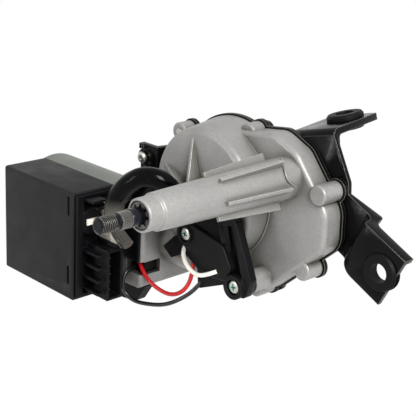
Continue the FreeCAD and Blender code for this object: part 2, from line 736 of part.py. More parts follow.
# Armature, which carries the worm
def worm():
    """A right-hand thread swept round the armature shaft."""
    scale = tooth_module.number
    pitch = math.pi * scale
    middle = worm_pitch_radius.number
    tip = middle + 0.8 * scale
    root = middle - 1.05 * scale
    lean = math.tan(TOOTH_LEAN)
    half = math.pi * scale * 0.17
    length = worm_length.number
    turns = int((length - pitch) / pitch)
    helix = Part.makeHelix(pitch, turns * pitch, middle)
    sunk = 0.3
    foot_half = half + (middle - root + sunk) * lean
    tip_half = half - (tip - middle) * lean
    corners = [(root - sunk, -foot_half), (tip, -tip_half), (tip, tip_half), (root - sunk, foot_half)]
    profile = Part.makePolygon([Vector(x, 0, z) for x, z in corners + corners[:1]])
    thread = Part.Wire(helix.Edges).makePipeShell([profile], True, True)
    core = Part.makeCylinder(root, length, Vector(0, 0, -(length - turns * pitch) / 2))
    whole = thread.fuse(core)
    bore = Part.makeCylinder(armature_radius.number, 3 * length, Vector(0, 0, -length))
    whole = solid_of(whole.cut(bore))
    lay = Rotation(Vector(0, 0, 1), Vector(0, -1, 0), Vector(1, 0, 0), "ZXY")
    start = wheel_x.number - int(turns / 2) * pitch
    whole.Placement = Placement(Vector(start, worm_y.number, worm_z.number), lay)
    return shaped("worm", whole)


def armature_pieces():
    y, z = worm_y, worm_z
    start = can_end_x - can_cup_length + can_wall + axial_clearance
    end = tunnel_end_x - wall - axial_clearance - thrust_length
    profile = [(start, 0), (start, armature_radius), (end, armature_radius), (end, 0)]
    turned("armature_shaft", "X", profile, 0, y, z)
    ring("commutator", "X", armature_radius, commutator_radius, commutator_length,
         commutator_x, y, z)
    winding = core_radius - 3.5
    ends = 5.5
    left = [(0, armature_radius), (ends, armature_radius), (ends, winding), (ends / 4, winding - 1.5)]
    turned("rear_winding", "X", left, core_start_x - ends, y, z)
    right = [(0, armature_radius), (ends, armature_radius), (ends * 0.75, winding - 1.5), (0, winding)]
    turned("front_winding", "X", right, core_start_x + core_length, y, z)


def armature_core():
    """Laminations with slots for the windings."""
    body = new_body("armature_core", core_start_x, worm_y, worm_z)
    sketch = new_sketch(body, "YZ_Plane", "armature_core_disc")
    draw_circle(sketch, 0, 0, core_radius)
    draw_circle(sketch, 0, 0, armature_radius)
    add_pad(body, sketch, core_length)
    slot = new_sketch(body, "YZ_Plane", "armature_core_slot")
    draw_box(slot, 0 - core_slot_width / 2, core_slot_width / 2, core_radius - core_slot_depth,
             core_radius + 1)
    cut = add_pocket(body, slot, core_length, backwards=True)
    add_pattern(body, cut, "X_Axis", 10)
    return body


# Gear housing, a die casting
def chamber_corners():
    return [(x, z, radius) for x, z, radius in CHAMBER]


def joint_outline(start, depth, grow):
    """The outline of the joint between casting and cover, as a plate."""
    x, z = wheel_x.number, wheel_z.number
    drum = rod("Y", drum_root_radius.number + grow, start, depth, x, 0, z)
    face = rounded_face(chamber_corners(), Placement(Vector(0, start, 0), Rotation()))
    if grow:
        face = face.makeOffset2D(grow)
    parts = [drum, face.extrude(Vector(0, depth, 0))]
    for boss_x, boss_z, _ in boss_places:
        parts.append(rod("Y", boss_radius.number + grow, start, depth, boss_x, 0, boss_z))
    return fused(parts)


def joint_hollow(start, depth):
    """The open space inside the joint, as a plate."""
    x, z = wheel_x.number, wheel_z.number
    room = wheel_pitch_radius.number + tooth_module.number + wheel_room.number
    drum = rod("Y", room, start, depth, x, 0, z)
    face = rounded_face(chamber_corners(), Placement(Vector(0, start, 0), Rotation()))
    chamber = face.makeOffset2D(-wall.number).extrude(Vector(0, depth, 0))
    hollow = drum.fuse(chamber)
    for boss_x, boss_z, _ in boss_places:
        hollow = hollow.cut(rod("Y", boss_radius.number, start - 1, depth + 2, boss_x, 0, boss_z))
    return hollow


def tube_blank():
    mouth = mouth_y.number
    collar = mouth + tube_collar_length.number
    root = sector_face_y.number + 1
    profile = [
        (mouth, 0),
        (mouth, tube_collar_radius.number - 0.6),
        (mouth + 0.6, tube_collar_radius.number),
        (collar, tube_collar_radius.number + 0.1),
        (collar + 1, tube_front_radius.number),
        (root, tube_root_radius.number),
        (root, 0),
    ]
    wire = Part.makePolygon([Vector(r, y, 0) for y, r in profile + profile[:1]])
    return Part.Face(wire).revolve(Vector(0, 0, 0), Vector(0, 1, 0), TURN)


def tube_ribs():
    """Ribs that stand on the tube's barrel and grow towards the gearbox."""
    half = rib_thickness.number / 2
    low, high = tube_rib_low.number, tube_rib_high.number
    start, end = tube_rib_start.number, sector_face_y.number - tube_rib_gap.number
    corners = [Vector(6, start, -half), Vector(low, start, -half), Vector(high, end, -half),
               Vector(6, end, -half)]
    rib = Part.Face(Part.makePolygon(corners + corners[:1])).extrude(Vector(0, 0, 2 * half))
    ribs = []
    count = int(tube_rib_count.number)
    for index in range(count):
        copy = rib.copy()
        copy.rotate(Vector(0, 0, 0), Vector(0, 1, 0), TURN * index / count)
        ribs.append(copy)
    return ribs


def drum_ribs():
    """Gussets from the drum's centre boss out over its face."""
    x, z = wheel_x.number, wheel_z.number
    face = drum_face_y.number
    half = rib_thickness.number / 2
    tall = centre_boss_length.number - 1.5
    reach = drum_front_radius.number - 5
    corners = [Vector(0, face + 1, -half), Vector(reach, face + 1, -half), Vector(reach, face, -half),
               Vector(centre_boss_radius.number, face - tall, -half), Vector(0, face - tall, -half)]
    rib = Part.Face(Part.makePolygon(corners + corners[:1])).extrude(Vector(0, 0, 2 * half))
    ribs = []
    for turn in (-105, -160, -215):
        copy = rib.copy()
        copy.rotate(Vector(0, 0, 0), Vector(0, 1, 0), turn)
        copy.translate(Vector(x, 0, z))
        ribs.append(copy)
    return ribs


def gear_housing():
    x, z = wheel_x.number, wheel_z.number
    y, low = worm_y.number, worm_z.number
    joint = joint_y.number
    face = drum_face_y.number
    drum = Part.makeCone(drum_front_radius.number, drum_root_radius.number, joint - face,
                         Vector(x, face, z), Vector(0, 1, 0))
    rim = [edge for edge in drum.Edges if abs(edge.CenterOfMass.y - face) < 0.01]
    drum = drum.makeFillet(drum_edge_radius.number, rim)
    chamber = rounded_plate(chamber_corners(), sector_face_y.number, joint - sector_face_y.number)
    edges = [edge for edge in chamber.Edges if abs(edge.BoundBox.YMax - sector_face_y.number) < 0.01]
    chamber = chamber.makeFillet(2.6, edges)
    front, back = block_front_y.number, joint
    left, right = flange_x.number, block_end_x.number
    motor_block = block((left, right), (front, back), (block_bottom_z.number, block_top_z.number))
    sides = [edge for edge in motor_block.Edges
             if abs(edge.BoundBox.XMin - right) < 0.01 and edge.BoundBox.XLength < 0.01]
    motor_block = motor_block.makeFillet(3.0, sides)
    flange = rod("X", can_radius.number + 2, left, 9, 0, y, low)
    tunnel = rod("X", tunnel_radius.number, right - 1, tunnel_end_x.number - right + 1, 0, y, low)
    end = [edge for edge in tunnel.Edges if abs(edge.CenterOfMass.x - tunnel_end_x.number) < 0.01]
    tunnel = tunnel.makeFillet(2.5, end)
    centre = rod("Y", centre_boss_radius.number, face - centre_boss_length.number,
                 centre_boss_length.number + 1, x, 0, z)
    foot = rod("Y", switch_boss_radius.number, switch_post_end, sector_face_y.number + 3 - switch_post_end,
               switch_low_x.number, 0, switch_low_z.number)
    parts = [drum, chamber, motor_block, flange, tunnel, centre, foot, tube_blank()]
    for boss_x, boss_z, length in boss_places:
        boss = rod("Y", boss_radius.number, joint - length, length, boss_x, 0, boss_z)
        crown = [edge for edge in boss.Edges if abs(edge.CenterOfMass.y - joint + length) < 0.01]
        parts.append(boss.makeFillet(1.2, crown))
    parts += tube_ribs() + drum_ribs()
    casting = fused(parts)
    return shaped("gear_housing", solid_of(hollowed(casting)))


def hollowed(casting):
    """Cut the chambers, bores and screw holes out of the casting."""
    x, z = wheel_x.number, wheel_z.number
    y, low = worm_y.number, worm_z.number
    joint = joint_y.number
    room = wheel_pitch_radius.number + tooth_module.number + wheel_room.number
    floor = wheel_front_y.number - axial_clearance.number * 3
    bore = worm_pitch_radius.number + tooth_module.number + tunnel_room.number
    left = flange_x.number
    cuts = [
        rod("Y", room, floor, joint - floor + 1, x, 0, z),
        joint_hollow(chamber_floor_y.number, joint - chamber_floor_y.number + 1),
        rod("X", bore, flange_bearing_end, tunnel_end_x.number - wall.number - flange_bearing_end, 0, y, low),
        rod("X", bearing_radius.number, flange_bearing_start - 1, bearing_length.number + 1, 0, y, low),
        rod("X", can_radius.number - can_wall.number - 1.4, left - 1, flange_bearing_start - left, 0, y, low),
        rod("Y", tube_bore_radius.number, mouth_y.number - 1, sector_face_y.number + 5 - mouth_y.number),
        rod("Y", mouth_radius.number, mouth_y.number - 1, mouth_depth.number + 1),
        rod("Y", axle_radius.number, face_of_axle, floor - face_of_axle + 1, x, 0, z),
        lead_slot(),
    ]
    for boss_x, boss_z, _ in boss_places:
        cuts.append(rod("Y", screw_radius.number, joint - screw_depth.number - 1,
                        screw_depth.number + 2, boss_x, 0, boss_z))
    for screw_x, screw_z, mouth, depth in switch_screw_holes:
        cuts.append(rod("Y", screw_radius.number, mouth, depth, screw_x, 0, screw_z))
    ear_x, ear_z = ear_screw_x.number, ear_screw_z.number
    casting = casting.fuse(ear_post())
    cuts.append(rod("Y", screw_radius.number, ear_face_y.number - 1, screw_depth.number + 1, ear_x, 0, ear_z))
    for cut in cuts:
        casting = casting.cut(cut)
    return casting


def lead_slot():
    """A slot round the front corner of the motor block, where the leads come out."""
    right, front = block_end_x.number, block_front_y.number
    top = slot_top_z.number
    return block((right - slot_length.number, right + 1), (front - 1, front + 14.5),
                 (top - slot_height.number, top))


def ear_post():
    """The post on the motor block that the bracket's ear is screwed to."""
    x, z = ear_screw_x.number, ear_screw_z.number
    start = ear_face_y.number
    post = rod("Y", 4.6, start, joint_y.number - start, x, 0, z)
    web = block((x - 3.5, x + 3.5), (start, joint_y.number), (block_top_z.number - 2, z))
    return post.fuse(web)


# Rear cover, seal and screws
def gear_cover():
    """A shallow cover with a raised middle, its rim level with the bosses."""
    start = cover_inside_y.number
    thick = cover_thickness.number
    plate = joint_outline(start, thick, cover_lip.number)
    for boss_x, boss_z, _ in boss_places:
        hole = rod("Y", screw_radius.number + 0.3, start - 1, thick + 2, boss_x, 0, boss_z)
        plate = plate.cut(hole)
    return shaped("gear_cover", solid_of(plate))


def cover_gasket():
    start = joint_y.number
    thick = gasket_thickness.number
    sheet = joint_outline(start, thick, 0).cut(joint_hollow(start - 1, thick + 2))
    for boss_x, boss_z, _ in boss_places:
        sheet = sheet.cut(rod("Y", screw_radius.number + 0.3, start - 1, thick + 2, boss_x, 0, boss_z))
    return shaped("cover_gasket", solid_of(sheet))


def cover_screws():
    """Screws through the cover, or through bracket and cover where the bracket lies."""
    screws = []
    for boss_x, boss_z, _ in boss_places:
        seat = cover_back_y.number
        if any(abs(boss_x - x) < 0.1 and abs(boss_z - z) < 0.1 for x, z in bracket_holes()):
            seat += steel.number
        shank = rod("Y", screw_radius.number, joint_y.number - screw_depth.number,
                    seat - joint_y.number + screw_depth.number, boss_x, 0, boss_z)
        head = rod("Y", screw_head_radius.number, seat, screw_head_height.number, boss_x, 0, boss_z)
        crown = [edge for edge in head.Edges
                 if abs(edge.CenterOfMass.y - seat - screw_head_height.number) < 0.01]
        head = head.makeFillet(0.8, crown)
        screws.append(solid_of(shank.fuse(head)))
    return shaped("cover_screws", Part.Compound(screws))


def bracket_holes():
    """The cover screws that also hold the bracket."""
    return [(x, z) for (x, z, _), row in zip(boss_places, BOSSES) if row[0] in BRACKET_BOSSES]


# Mounting bracket, folded from sheet
def axes_frame(origin, across, up):
    """A placement whose X is across, whose Z is up and whose Y is square to both."""
    return Placement(origin, Rotation(across, up.cross(across), up, "ZXY"))


UPPER_CORNER = (-10.6, 20.4)
LOWER_CORNER = (25.1, -2.7)


def upper_frame():
    """Origin at the upper bend's left end, X along the bend, Z up off the upper plate."""
    lean = math.radians(top_lean.number)
    rise = math.radians(top_rise.number)
    across = Vector(math.cos(lean), 0, math.sin(lean))
    upright = Vector(-math.sin(lean), 0, math.cos(lean))
    back = Vector(0, math.cos(rise), 0) + upright * math.sin(rise)
    origin = Vector(UPPER_CORNER[0], cover_back_y.number, UPPER_CORNER[1])
    return axes_frame(origin, across, across.cross(back).normalize())


def lower_frame():
    """Origin at the lower arm's upper root corner, X out along the arm, Z across it."""
    lean = math.radians(low_lean.number)
    along = Vector(math.cos(lean), 0, -math.sin(lean))
    up = Vector(math.sin(lean), 0, math.cos(lean))
    return axes_frame(Vector(LOWER_CORNER[0], cover_back_y.number, LOWER_CORNER[1]), along, up)


def folded(corners, frame, width, shift=0.0):
    """Sheet folded along a profile of corners (along, deep, radius), made into a strip."""
    face = rounded_face([(a, b, r) for a, b, r in corners])
    face.rotate(Vector(0, 0, 0), Vector(1, 0, 0), -90)
    strip = face.extrude(Vector(0, 0, width))
    strip.translate(Vector(0, 0, shift))
    strip.Placement = frame.multiply(strip.Placement)
    return strip


def step_profile(thick, root_thick, root=-4):
    """The lower arm's stepped section: along the arm, then depth behind the cover."""
    first, last, step = low_start.number, low_end.number, low_step.number
    bend = bend_radius.number
    outer = bend + steel.number
    slant = 1.5
    return [(root, 0, 0), (first - slant, 0, outer), (first, -step, bend), (last, -step, 0),
            (last, thick - step, 0), (first + steel.number, thick - step, outer),
            (first - slant + steel.number, thick, bend), (root, root_thick, 0)]


def lower_arm():
    frame = lower_frame()
    width = low_width.number
    sheet = steel.number
    plate = folded(step_profile(sheet, sheet), frame, width, 1 - width)
    deep = sheet + bracket_flange.number
    edge = folded(step_profile(deep, sheet, lower_edge_start.number), frame, sheet, 1 - sheet)
    return plate.fuse(edge)


def upper_arm():
    """The web that rises behind the cover and the plate folded back from its top."""
    frame = upper_frame()
    width, length = top_width.number, top_length.number
    thick, bend = steel.number, bend_radius.number
    drop = 26.0
    lean = math.radians(top_rise.number)
    run = drop * math.sin(lean)
    fall = drop * math.cos(lean)
    lip = thick + bracket_lip.number
    deep = thick + web_flange.number

    def bent(foot, web, plate):
        """The folded section: depths of the web's foot and top, and of the plate."""
        side = [(0, 0), (-run, -fall), (-run + foot, -fall), (web, -plate), (length, -plate), (length, 0)]
        radii = (bend + thick, 0, 0, bend, 0, 0)
        return [(a, b, radius) for (a, b), radius in zip(side, radii)]

    strips = []
    for depths, start, wide in (((thick, thick, thick), 0.0, width), ((thick, deep, lip), width - thick, thick)):
        face = rounded_face(bent(*depths))
        face.rotate(Vector(0, 0, 0), Vector(0, 0, 1), 90)
        strip = face.extrude(Vector(wide, 0, 0))
        strip.translate(Vector(start, 0, 0))
        strip.Placement = frame.multiply(strip.Placement)
        strips.append(strip)
    return strips[0].fuse(strips[1])


def mounting_bracket():
    start = cover_back_y.number
    thick = steel.number
    lean = math.radians(top_lean.number)
    width = top_width.number
    left = UPPER_CORNER
    right = (left[0] + width * math.cos(lean), left[1] + width * math.sin(lean))
    drop = 3.0
    down = (math.sin(lean) * drop, -math.cos(lean) * drop)
    ear_x, ear_z = ear_screw_x.number, ear_screw_z.number
    web = [
        (left[0] + down[0], left[1] + down[1], 0),
        (right[0] + down[0], right[1] + down[1], 0),
        (29.5, 2.0, 4),
        (LOWER_CORNER[0] + 5, LOWER_CORNER[1] - 1.5, 0),
        (17.0, -28.0, 2),
        (0.0, -40.0, 10),
        (-9.0, -71.0, 6),
        (-22.0, -73.0, 6),
        (-34.0, -38.0, 14),
        (-70.0, -24.0, 14),
        (ear_x + 20, ear_z - 7.5, 4),
        (ear_x + 20, ear_z + 8.4, 4),
        (-60.0, 2.0, 20),
        (-39.0, 10.0, 5),
        (-37.0, 21.5, 5),
        (-26.0, 22.0, 5),
        (-23.0, 10.0, 6),
    ]
    plate = rounded_plate(web, start, thick)
    whole = fused([plate, upper_arm(), lower_arm(), ear_arm()])
    for hole_x, hole_z in bracket_holes():
        whole = whole.cut(rod("Y", screw_radius.number + 0.3, start - 1, thick + 2, hole_x, 0, hole_z))
    upper, lower = upper_hole(), lower_hole()
    for spot, direction in (upper, lower):
        base = spot - direction * 20
        whole = whole.cut(Part.makeCylinder(grommet_waist.number, 26, base, direction))
    return shaped("mounting_bracket", solid_of(whole))


def ear_arm():
    """The ear that steps forward from behind the cover to its screw on the motor block."""
    x, z = ear_screw_x.number, ear_screw_z.number
    back = cover_back_y.number
    front = ear_face_y.number - steel.number
    thick = steel.number
    low, high = z - 7.5, z + 8.4
    profile = [
        (x - 2.6, front, 0), (x + 11.5, front, 1.5), (x + 15, back, 3), (x + 24, back, 0),
        (x + 24, back + thick, 0), (x + 12.5, back + thick, 3.5), (x + 9, front + thick, 1),
        (x - 2.6, front + thick, 0),
    ]
    face = rounded_face(profile)
    face.rotate(Vector(0, 0, 0), Vector(1, 0, 0), -90)
    strip = face.extrude(Vector(0, 0, high - low))
    strip.translate(Vector(0, 0, low))
    eye = rod("Y", ear_radius.number, front, thick, x, 0, z)
    tab = block((x - 2.6, x - 0.4), (front - 1.6, front + 1), (z + 5.2, high))
    ear = fused([strip, eye, tab])
    return ear.cut(rod("Y", screw_radius.number + 0.3, front - 1, thick + 2, x, 0, z))


def upper_hole():
    """Centre of the upper hole on the plate's top face, and the way out of it."""
    frame = upper_frame()
    spot = frame.multVec(Vector(top_hole_across.number, top_hole_reach.number, 0))
    return spot, frame.Rotation.multVec(Vector(0, 0, 1))


def lower_hole():
    """Centre of the lower hole on the plate's front face, and the way out of it."""
    frame = lower_frame()
    spot = frame.multVec(Vector(low_hole_reach.number, -low_step.number, 1 - low_width.number / 2))
    return spot, Vector(0, -1, 0)


def grommet(label, spot, direction, length):
    """A rubber grommet whose waist fills the bracket's hole."""
    outer, bore = grommet_radius.number, grommet_bore.number
    waist = grommet_waist.number - seat_clearance.number
    half = length.number / 2
    hole = steel.number / 2 + seat_clearance.number
    soft = 1.2
    profile = [
        (bore, -half, 0), (outer - 1, -half, 0), (outer, -half + soft, 0), (outer, -hole, 0), (waist, -hole, 0),
        (waist, hole, 0), (outer, hole, 0), (outer, half - soft, 0), (outer - 1, half, 0), (bore, half, 0),
    ]
    face = rounded_face(profile)
    body = face.revolve(Vector(0, 0, 0), Vector(0, 0, 1), TURN)
    middle = spot - direction * (steel.number / 2)
    body.Placement = Placement(middle, Rotation(Vector(0, 0, 1), direction))
    return shaped(label, body)


def ear_screw():
    x, z = ear_screw_x, ear_screw_z
    seat = ear_face_y - steel
    head = seat - screw_head_height
    end = ear_face_y + screw_depth - 1
    profile = [
        (head, 0), (head, ear_screw_radius - 0.8), (head + 0.8, ear_screw_radius),
        (seat, ear_screw_radius), (seat, screw_radius), (end, screw_radius), (end, 0),
    ]
    return turned("bracket_screw", "Y", profile, x, 0, z)


# Motor can and its fixed pieces
def motor_can():
    body = new_body("motor_can", 0, worm_y, worm_z)
    sketch = new_sketch(body, "XY_Plane", "motor_can_profile")
    cup_end = can_end_x - can_cup_length
    inner = can_radius - can_wall
    profile = [
        (cup_end, 0), (cup_end, can_cup_radius), (can_end_x, can_cup_radius), (can_end_x, can_radius),
        (flange_x, can_radius), (flange_x, inner), (can_end_x + can_wall, inner),
        (can_end_x + can_wall, bearing_radius), (cup_end + can_wall, bearing_radius),
        (cup_end + can_wall, 0),
    ]
    draw_loop(sketch, profile)
    feature = body.newObject("PartDesign::Revolution", "motor_can_turn")
    feature.Profile = sketch
    feature.ReferenceAxis = (sketch, ["H_Axis"])
    feature.Angle = TURN
    DOC.recompute()
    rim = corner_edges(feature, can_end_x.number, can_radius.number, worm_y.number)
    fillet = body.newObject("PartDesign::Fillet", "motor_can_edge")
    fillet.Base = (feature, rim)
    pin_down(fillet, "Radius", can_edge_radius)
    return body


def corner_edges(feature, along, radius, height):
    """Names of a feature's round edges at a station and radius on the X axis."""
    names = []
    for index, edge in enumerate(feature.Shape.Edges):
        curve = edge.Curve
        if isinstance(curve, Part.Circle) and abs(curve.Radius - radius) < 0.01:
            if abs(curve.Center.x - along) < 0.01:
                names.append("Edge%d" % (index + 1))
    return names


def field_magnets():
    """Two curved magnets glued inside the can."""
    inner = core_radius.number + magnet_gap.number
    outer = can_radius.number - can_wall.number
    y, z = worm_y.number, worm_z.number
    start = core_start_x.number - 2
    length = core_length.number + 4
    tube = rod("X", outer, start, length, 0, y, z).cut(rod("X", inner, start - 1, length + 2, 0, y, z))
    half = magnet_split.number / 2
    slot = block((start - 1, start + length + 1), (y - half, y + half), (z - 2 * outer, z + 2 * outer))
    return shaped("field_magnets", tube.cut(slot))


def motor_bearings():
    outer = bearing_radius
    inner = armature_radius + running_clearance
    y, z = worm_y, worm_z
    start = can_end_x - can_cup_length + can_wall
    ring("can_bearing", "X", inner, outer, bearing_length - 1, start + axial_clearance, y, z)
    ring("flange_bearing", "X", inner, outer, bearing_length, flange_bearing_start, y, z)
    bore = worm_pitch_radius + tooth_module + tunnel_room
    end = tunnel_end_x - wall
    ring("tunnel_bearing", "X", inner, bore, bearing_length, end - bearing_length - thrust_length, y, z)
    turned("thrust_pad", "X", [(0, 0), (0, bore), (thrust_length, bore), (thrust_length, 0)],
           end - thrust_length, y, z)


def brush_card():
    """The moulded card in the mouth of the can that carries the brushes."""
    y, z = worm_y.number, worm_z.number
    start = flange_x.number - card_setback.number
    outer = can_radius.number - can_wall.number - seat_clearance.number
    card = rod("X", outer, start, 2.8, 0, y, z)
    card = card.cut(rod("X", commutator_radius.number + 1.5, start - 1, 5, 0, y, z))
    parts = [card]
    for side in (-1, 1):
        near, far = sorted((z + side * (commutator_radius.number + 1.6), z + side * (outer - 3)))
        cage = block((start - 8, start + 0.5), (y - 5, y + 5), (near, far))
        parts.append(cage.cut(block((start - 6.5, start - 1.5), (y - 3.2, y + 3.2), (near - 1, far + 1))))
    return shaped("brush_card", solid_of(fused(parts)))


def brushes():
    y, z = worm_y.number, worm_z.number
    start = flange_x.number - card_setback.number
    reach = commutator_radius.number + 0.05
    blocks = []
    for side in (-1, 1):
        near, far = sorted((z + side * (reach - 1), z + side * (reach + 9)))
        piece = block((start - 6.4, start - 1.6), (y - 3.1, y + 3.1), (near, far))
        blocks.append(piece.cut(rod("X", reach, start - 9, 12, 0, y, z)))
    return shaped("brushes", Part.Compound(blocks))


# Control module
def module_cover():
    """A deep moulded box, open towards +X, with two latch windows in its front."""
    width = module_right_x - module_left_x
    body = new_body("module_cover", module_left_x, module_front_y, module_bottom_z)
    outline = new_sketch(body, "YZ_Plane", "module_cover_outline")
    draw_box(outline, 0, module_depth, 0, module_height)
    pad = add_pad(body, outline, width)
    DOC.recompute()
    names = []
    for index, edge in enumerate(pad.Shape.Edges):
        if edge.BoundBox.XMax < module_left_x.number + number(width) - 0.01 or edge.BoundBox.XLength > 1:
            names.append("Edge%d" % (index + 1))
    fillet = body.newObject("PartDesign::Fillet", "module_cover_edges")
    fillet.Base = (pad, names)
    pin_down(fillet, "Radius", module_edge)
    room = new_sketch(body, "YZ_Plane", "module_cover_room", width)
    draw_box(room, module_wall, module_depth - module_wall, module_wall, module_height - module_wall)
    add_pocket(body, room, width - module_wall)
    windows = new_sketch(body, "XZ_Plane", "module_cover_windows")
    for low in (0.14, 0.78):
        draw_box(windows, width - latch_inset - latch_width, width - latch_inset,
                 module_height * low, module_height * low + latch_height)
    add_pocket(body, windows, module_wall * 2, backwards=False)
    return body


def module_base():
    """The base that closes the cover and carries the connector shroud and its ribs."""
    wall_room = module_wall.number + seat_clearance.number
    right = module_right_x.number - base_recess.number
    left = right - base_thickness.number
    front = module_front_y.number + wall_room
    back = module_front_y.number + module_depth.number - wall_room
    low = module_bottom_z.number + wall_room
    high = module_bottom_z.number + module_height.number - wall_room
    plate = block((left, right), (front, back), (low, high))
    end = module_right_x.number + shroud_length.number
    shroud_front = module_front_y.number + shroud_offset.number
    shroud_back = shroud_front + shroud_width.number
    shroud_low = low + 0.4
    shroud_top = module_bottom_z.number + shroud_height.number
    shroud = block((left, end), (shroud_front, shroud_back), (shroud_low, shroud_top))
    inner = module_wall.number * 0.75
    socket = block((right, end + 1), (shroud_front + inner, shroud_back - inner),
                   (shroud_low + inner, shroud_top - inner))
    rim_wall = base_rim_wall.number
    rim_end = module_right_x.number + base_rim.number
    rim = block((left, rim_end), (front, back), (low, high))
    rim = rim.cut(block((right, rim_end + 1), (front + base_border.number, back - rim_wall),
                        (low + rim_wall, high - rim_wall)))
    parts = [plate, rim, shroud]
    rib = 1.3
    for step in range(4):
        level = shroud_low + 3 + step * (shroud_top - shroud_low - 7) / 3
        parts.append(block((left, end - 3), (shroud_front - 4.5, shroud_front + 1), (level, level + rib)))
    gland_y = module_front_y.number + gland_offset.number
    gland_z = module_bottom_z.number + gland_rise.number
    parts.append(rod("X", gland_radius.number, left, base_thickness.number + 4, 0, gland_y, gland_z))
    parts.append(block((left, right + 11), (front + 5.5, front + 15), (high - 3.5, high - 2)))
    parts.append(block((left, right + 9), (front + 10, front + 19), (high - 8.5, high - 7)))
    ledge = holder_foot()
    parts.append(block((left, right + holder_length.number + 2), (shroud_back - 4, shroud_back),
                       (shroud_top - 0.5, ledge)))
    foot_low = worm_z.number - 3
    foot_left = module_right_x.number + axial_clearance.number
    parts.append(block((left, foot_left + 4), (back - 3, back), (foot_low, foot_low + 9)))
    parts.append(block((foot_left, foot_left + 4), (back - 3, block_front_y.number),
                       (foot_low, foot_low + 9)))
    whole = fused(parts).cut(socket)
    for blade in connector_blades():
        whole = whole.cut(blade)
    return shaped("module_base", solid_of(whole))


def holder_foot():
    """Height of the ledge on the shroud that the terminal holder stands on."""
    return module_bottom_z.number + shroud_height.number + 1.4


def terminal_holder():
    """A pale moulding that stands on the shroud, and the pale tab of the gland."""
    left = module_right_x.number - base_recess.number
    back = module_front_y.number + shroud_offset.number + shroud_width.number
    foot = holder_foot()
    plate = block((left, left + holder_length.number), (back - 1.8, back - 0.2),
                  (foot, foot + holder_height.number))
    gland_y = module_front_y.number + gland_offset.number
    gland_z = module_bottom_z.number + gland_rise.number
    end = left + 4
    tab = block((end, end + 1.0), (gland_y - 3.6, gland_y + 3.6), (gland_z - 1.7, gland_z + 1.7))
    return shaped("terminal_holder", Part.Compound([plate, tab]))


def module_inside():
    """Circuit board with its relay, and the connector's blades."""
    wall_room = module_wall + seat_clearance
    left = module_left_x + wall_room + 3
    right = module_right_x - base_recess - base_thickness
    level = module_front_y + module_depth / 2 + 2
    low = module_bottom_z + wall_room + 3
    high = module_bottom_z + module_height - wall_room - 3
    board = new_body("circuit_board", left, level, low)
    sketch = new_sketch(board, "XZ_Plane", "circuit_board_outline")
    draw_box(sketch, 0, right - left, 0, high - low)
    add_pad(board, sketch, 1.6, backwards=True)
    relay = new_body("relay", right - 24, level, high - 26)
    sketch = new_sketch(relay, "XZ_Plane", "relay_outline")
    draw_box(sketch, 0, 20, 0, 16)
    add_pad(relay, sketch, 11)


def connector_blades():
    end = module_right_x.number + shroud_length.number - blade_inset.number
    left = module_right_x.number - base_recess.number - base_thickness.number
    centre_y = module_front_y.number + shroud_offset.number + shroud_width.number / 2
    low = module_bottom_z.number + 5.5
    blades = []
    for step in range(5):
        level = low + step * 4.7
        blades.append(block((left + 0.2, end), (centre_y - 1.4, centre_y + 1.4), (level, level + 0.8)))
    return blades


# Switch cover under the tube
def switch_cover():
    """The black moulding that holds the park contacts, screwed to the casting."""
    face = switch_front_y.number
    back = worm_y.number - tunnel_radius.number - axial_clearance.number
    depth = back - face
    high_seat = drum_face_y.number
    front = [(-52, -33, 4), (-41, -33.5, 3), (-19, -38, 3), (-12, -50, 3), (-17, -57.5, 3), (-26, -58.5, 5),
             (-36, -57.5, 6), (-48, -51, 4)]
    body = rounded_plate(front, face, depth)
    crown = [edge for edge in body.Edges if abs(edge.BoundBox.YMax - face) < 0.01]
    body = body.makeFillet(0.8, crown)
    channel = [(-27, -25, 2), (-13, -23, 2), (0.5, -53, 3), (-3, -64.5, 3), (-15.5, -60.5, 3), (-20, -45, 4)]
    duct = rounded_plate(channel, face + 2.5, back - face - 2.5)
    groove = [(-24.5, -28, 1), (-15.6, -26.6, 1), (-5.6, -54, 2), (-13, -57, 2)]
    duct = duct.cut(rounded_plate(groove, face + 1.5, 4.5))
    skirt = rounded_plate([(-41, -57, 1), (-17, -55, 1), (-20, -61.5, 3), (-39.4, -70.3, 1.5)], face + 4, depth - 4)
    high_x, high_z = switch_high_x.number, switch_high_z.number
    low_x, low_z = switch_low_x.number, switch_low_z.number
    high_post = rod("Y", 5.6, face - 1.8, high_seat - face + 1.8, high_x, 0, high_z)
    low_post = rod("Y", 6.6, face, switch_post_end - face, low_x, 0, low_z)
    clip = rounded_plate([(-69, -54.3, 0.6), (-60, -45.5, 0.6), (-49, -44, 0), (-49, -52, 0), (-62, -59.2, 0.6)],
                         face + 4, 1.8)
    bridge = rounded_plate([(-43, -36, 1), (-40, -26.5, 3), (-21, -22, 2), (-16, -42, 1)], face + 3.5,
                           depth - 3.5)
    whole = fused([body, duct, skirt, high_post, low_post, clip, bridge])
    for x, z, start in ((high_x, high_z, face - 1.8), (low_x, low_z, face)):
        whole = whole.cut(rod("Y", screw_head_radius.number + 0.5, start - 1, 3.6, x, 0, z))
        whole = whole.cut(rod("Y", screw_radius.number + 0.3, start, 30, x, 0, z))
    return shaped("switch_cover", solid_of(whole))


def switch_screws():
    face = switch_front_y.number
    pieces = []
    spots = ((switch_high_x.number, switch_high_z.number, face - 1.8 + 2.6, drum_face_y.number + 1.2),
             (switch_low_x.number, switch_low_z.number, face + 2.6, switch_post_end + 7))
    for x, z, seat, end in spots:
        head = rod("Y", screw_head_radius.number, seat - 2.0, 2.0, x, 0, z)
        crown = [edge for edge in head.Edges if abs(edge.CenterOfMass.y - seat + 2.0) < 0.01]
        head = head.makeFillet(0.7, crown)
        shank = rod("Y", screw_radius.number, seat - 0.2, end - seat + 0.2, x, 0, z)
        pieces.append(solid_of(head.fuse(shank)))
    return shaped("switch_screws", Part.Compound(pieces))


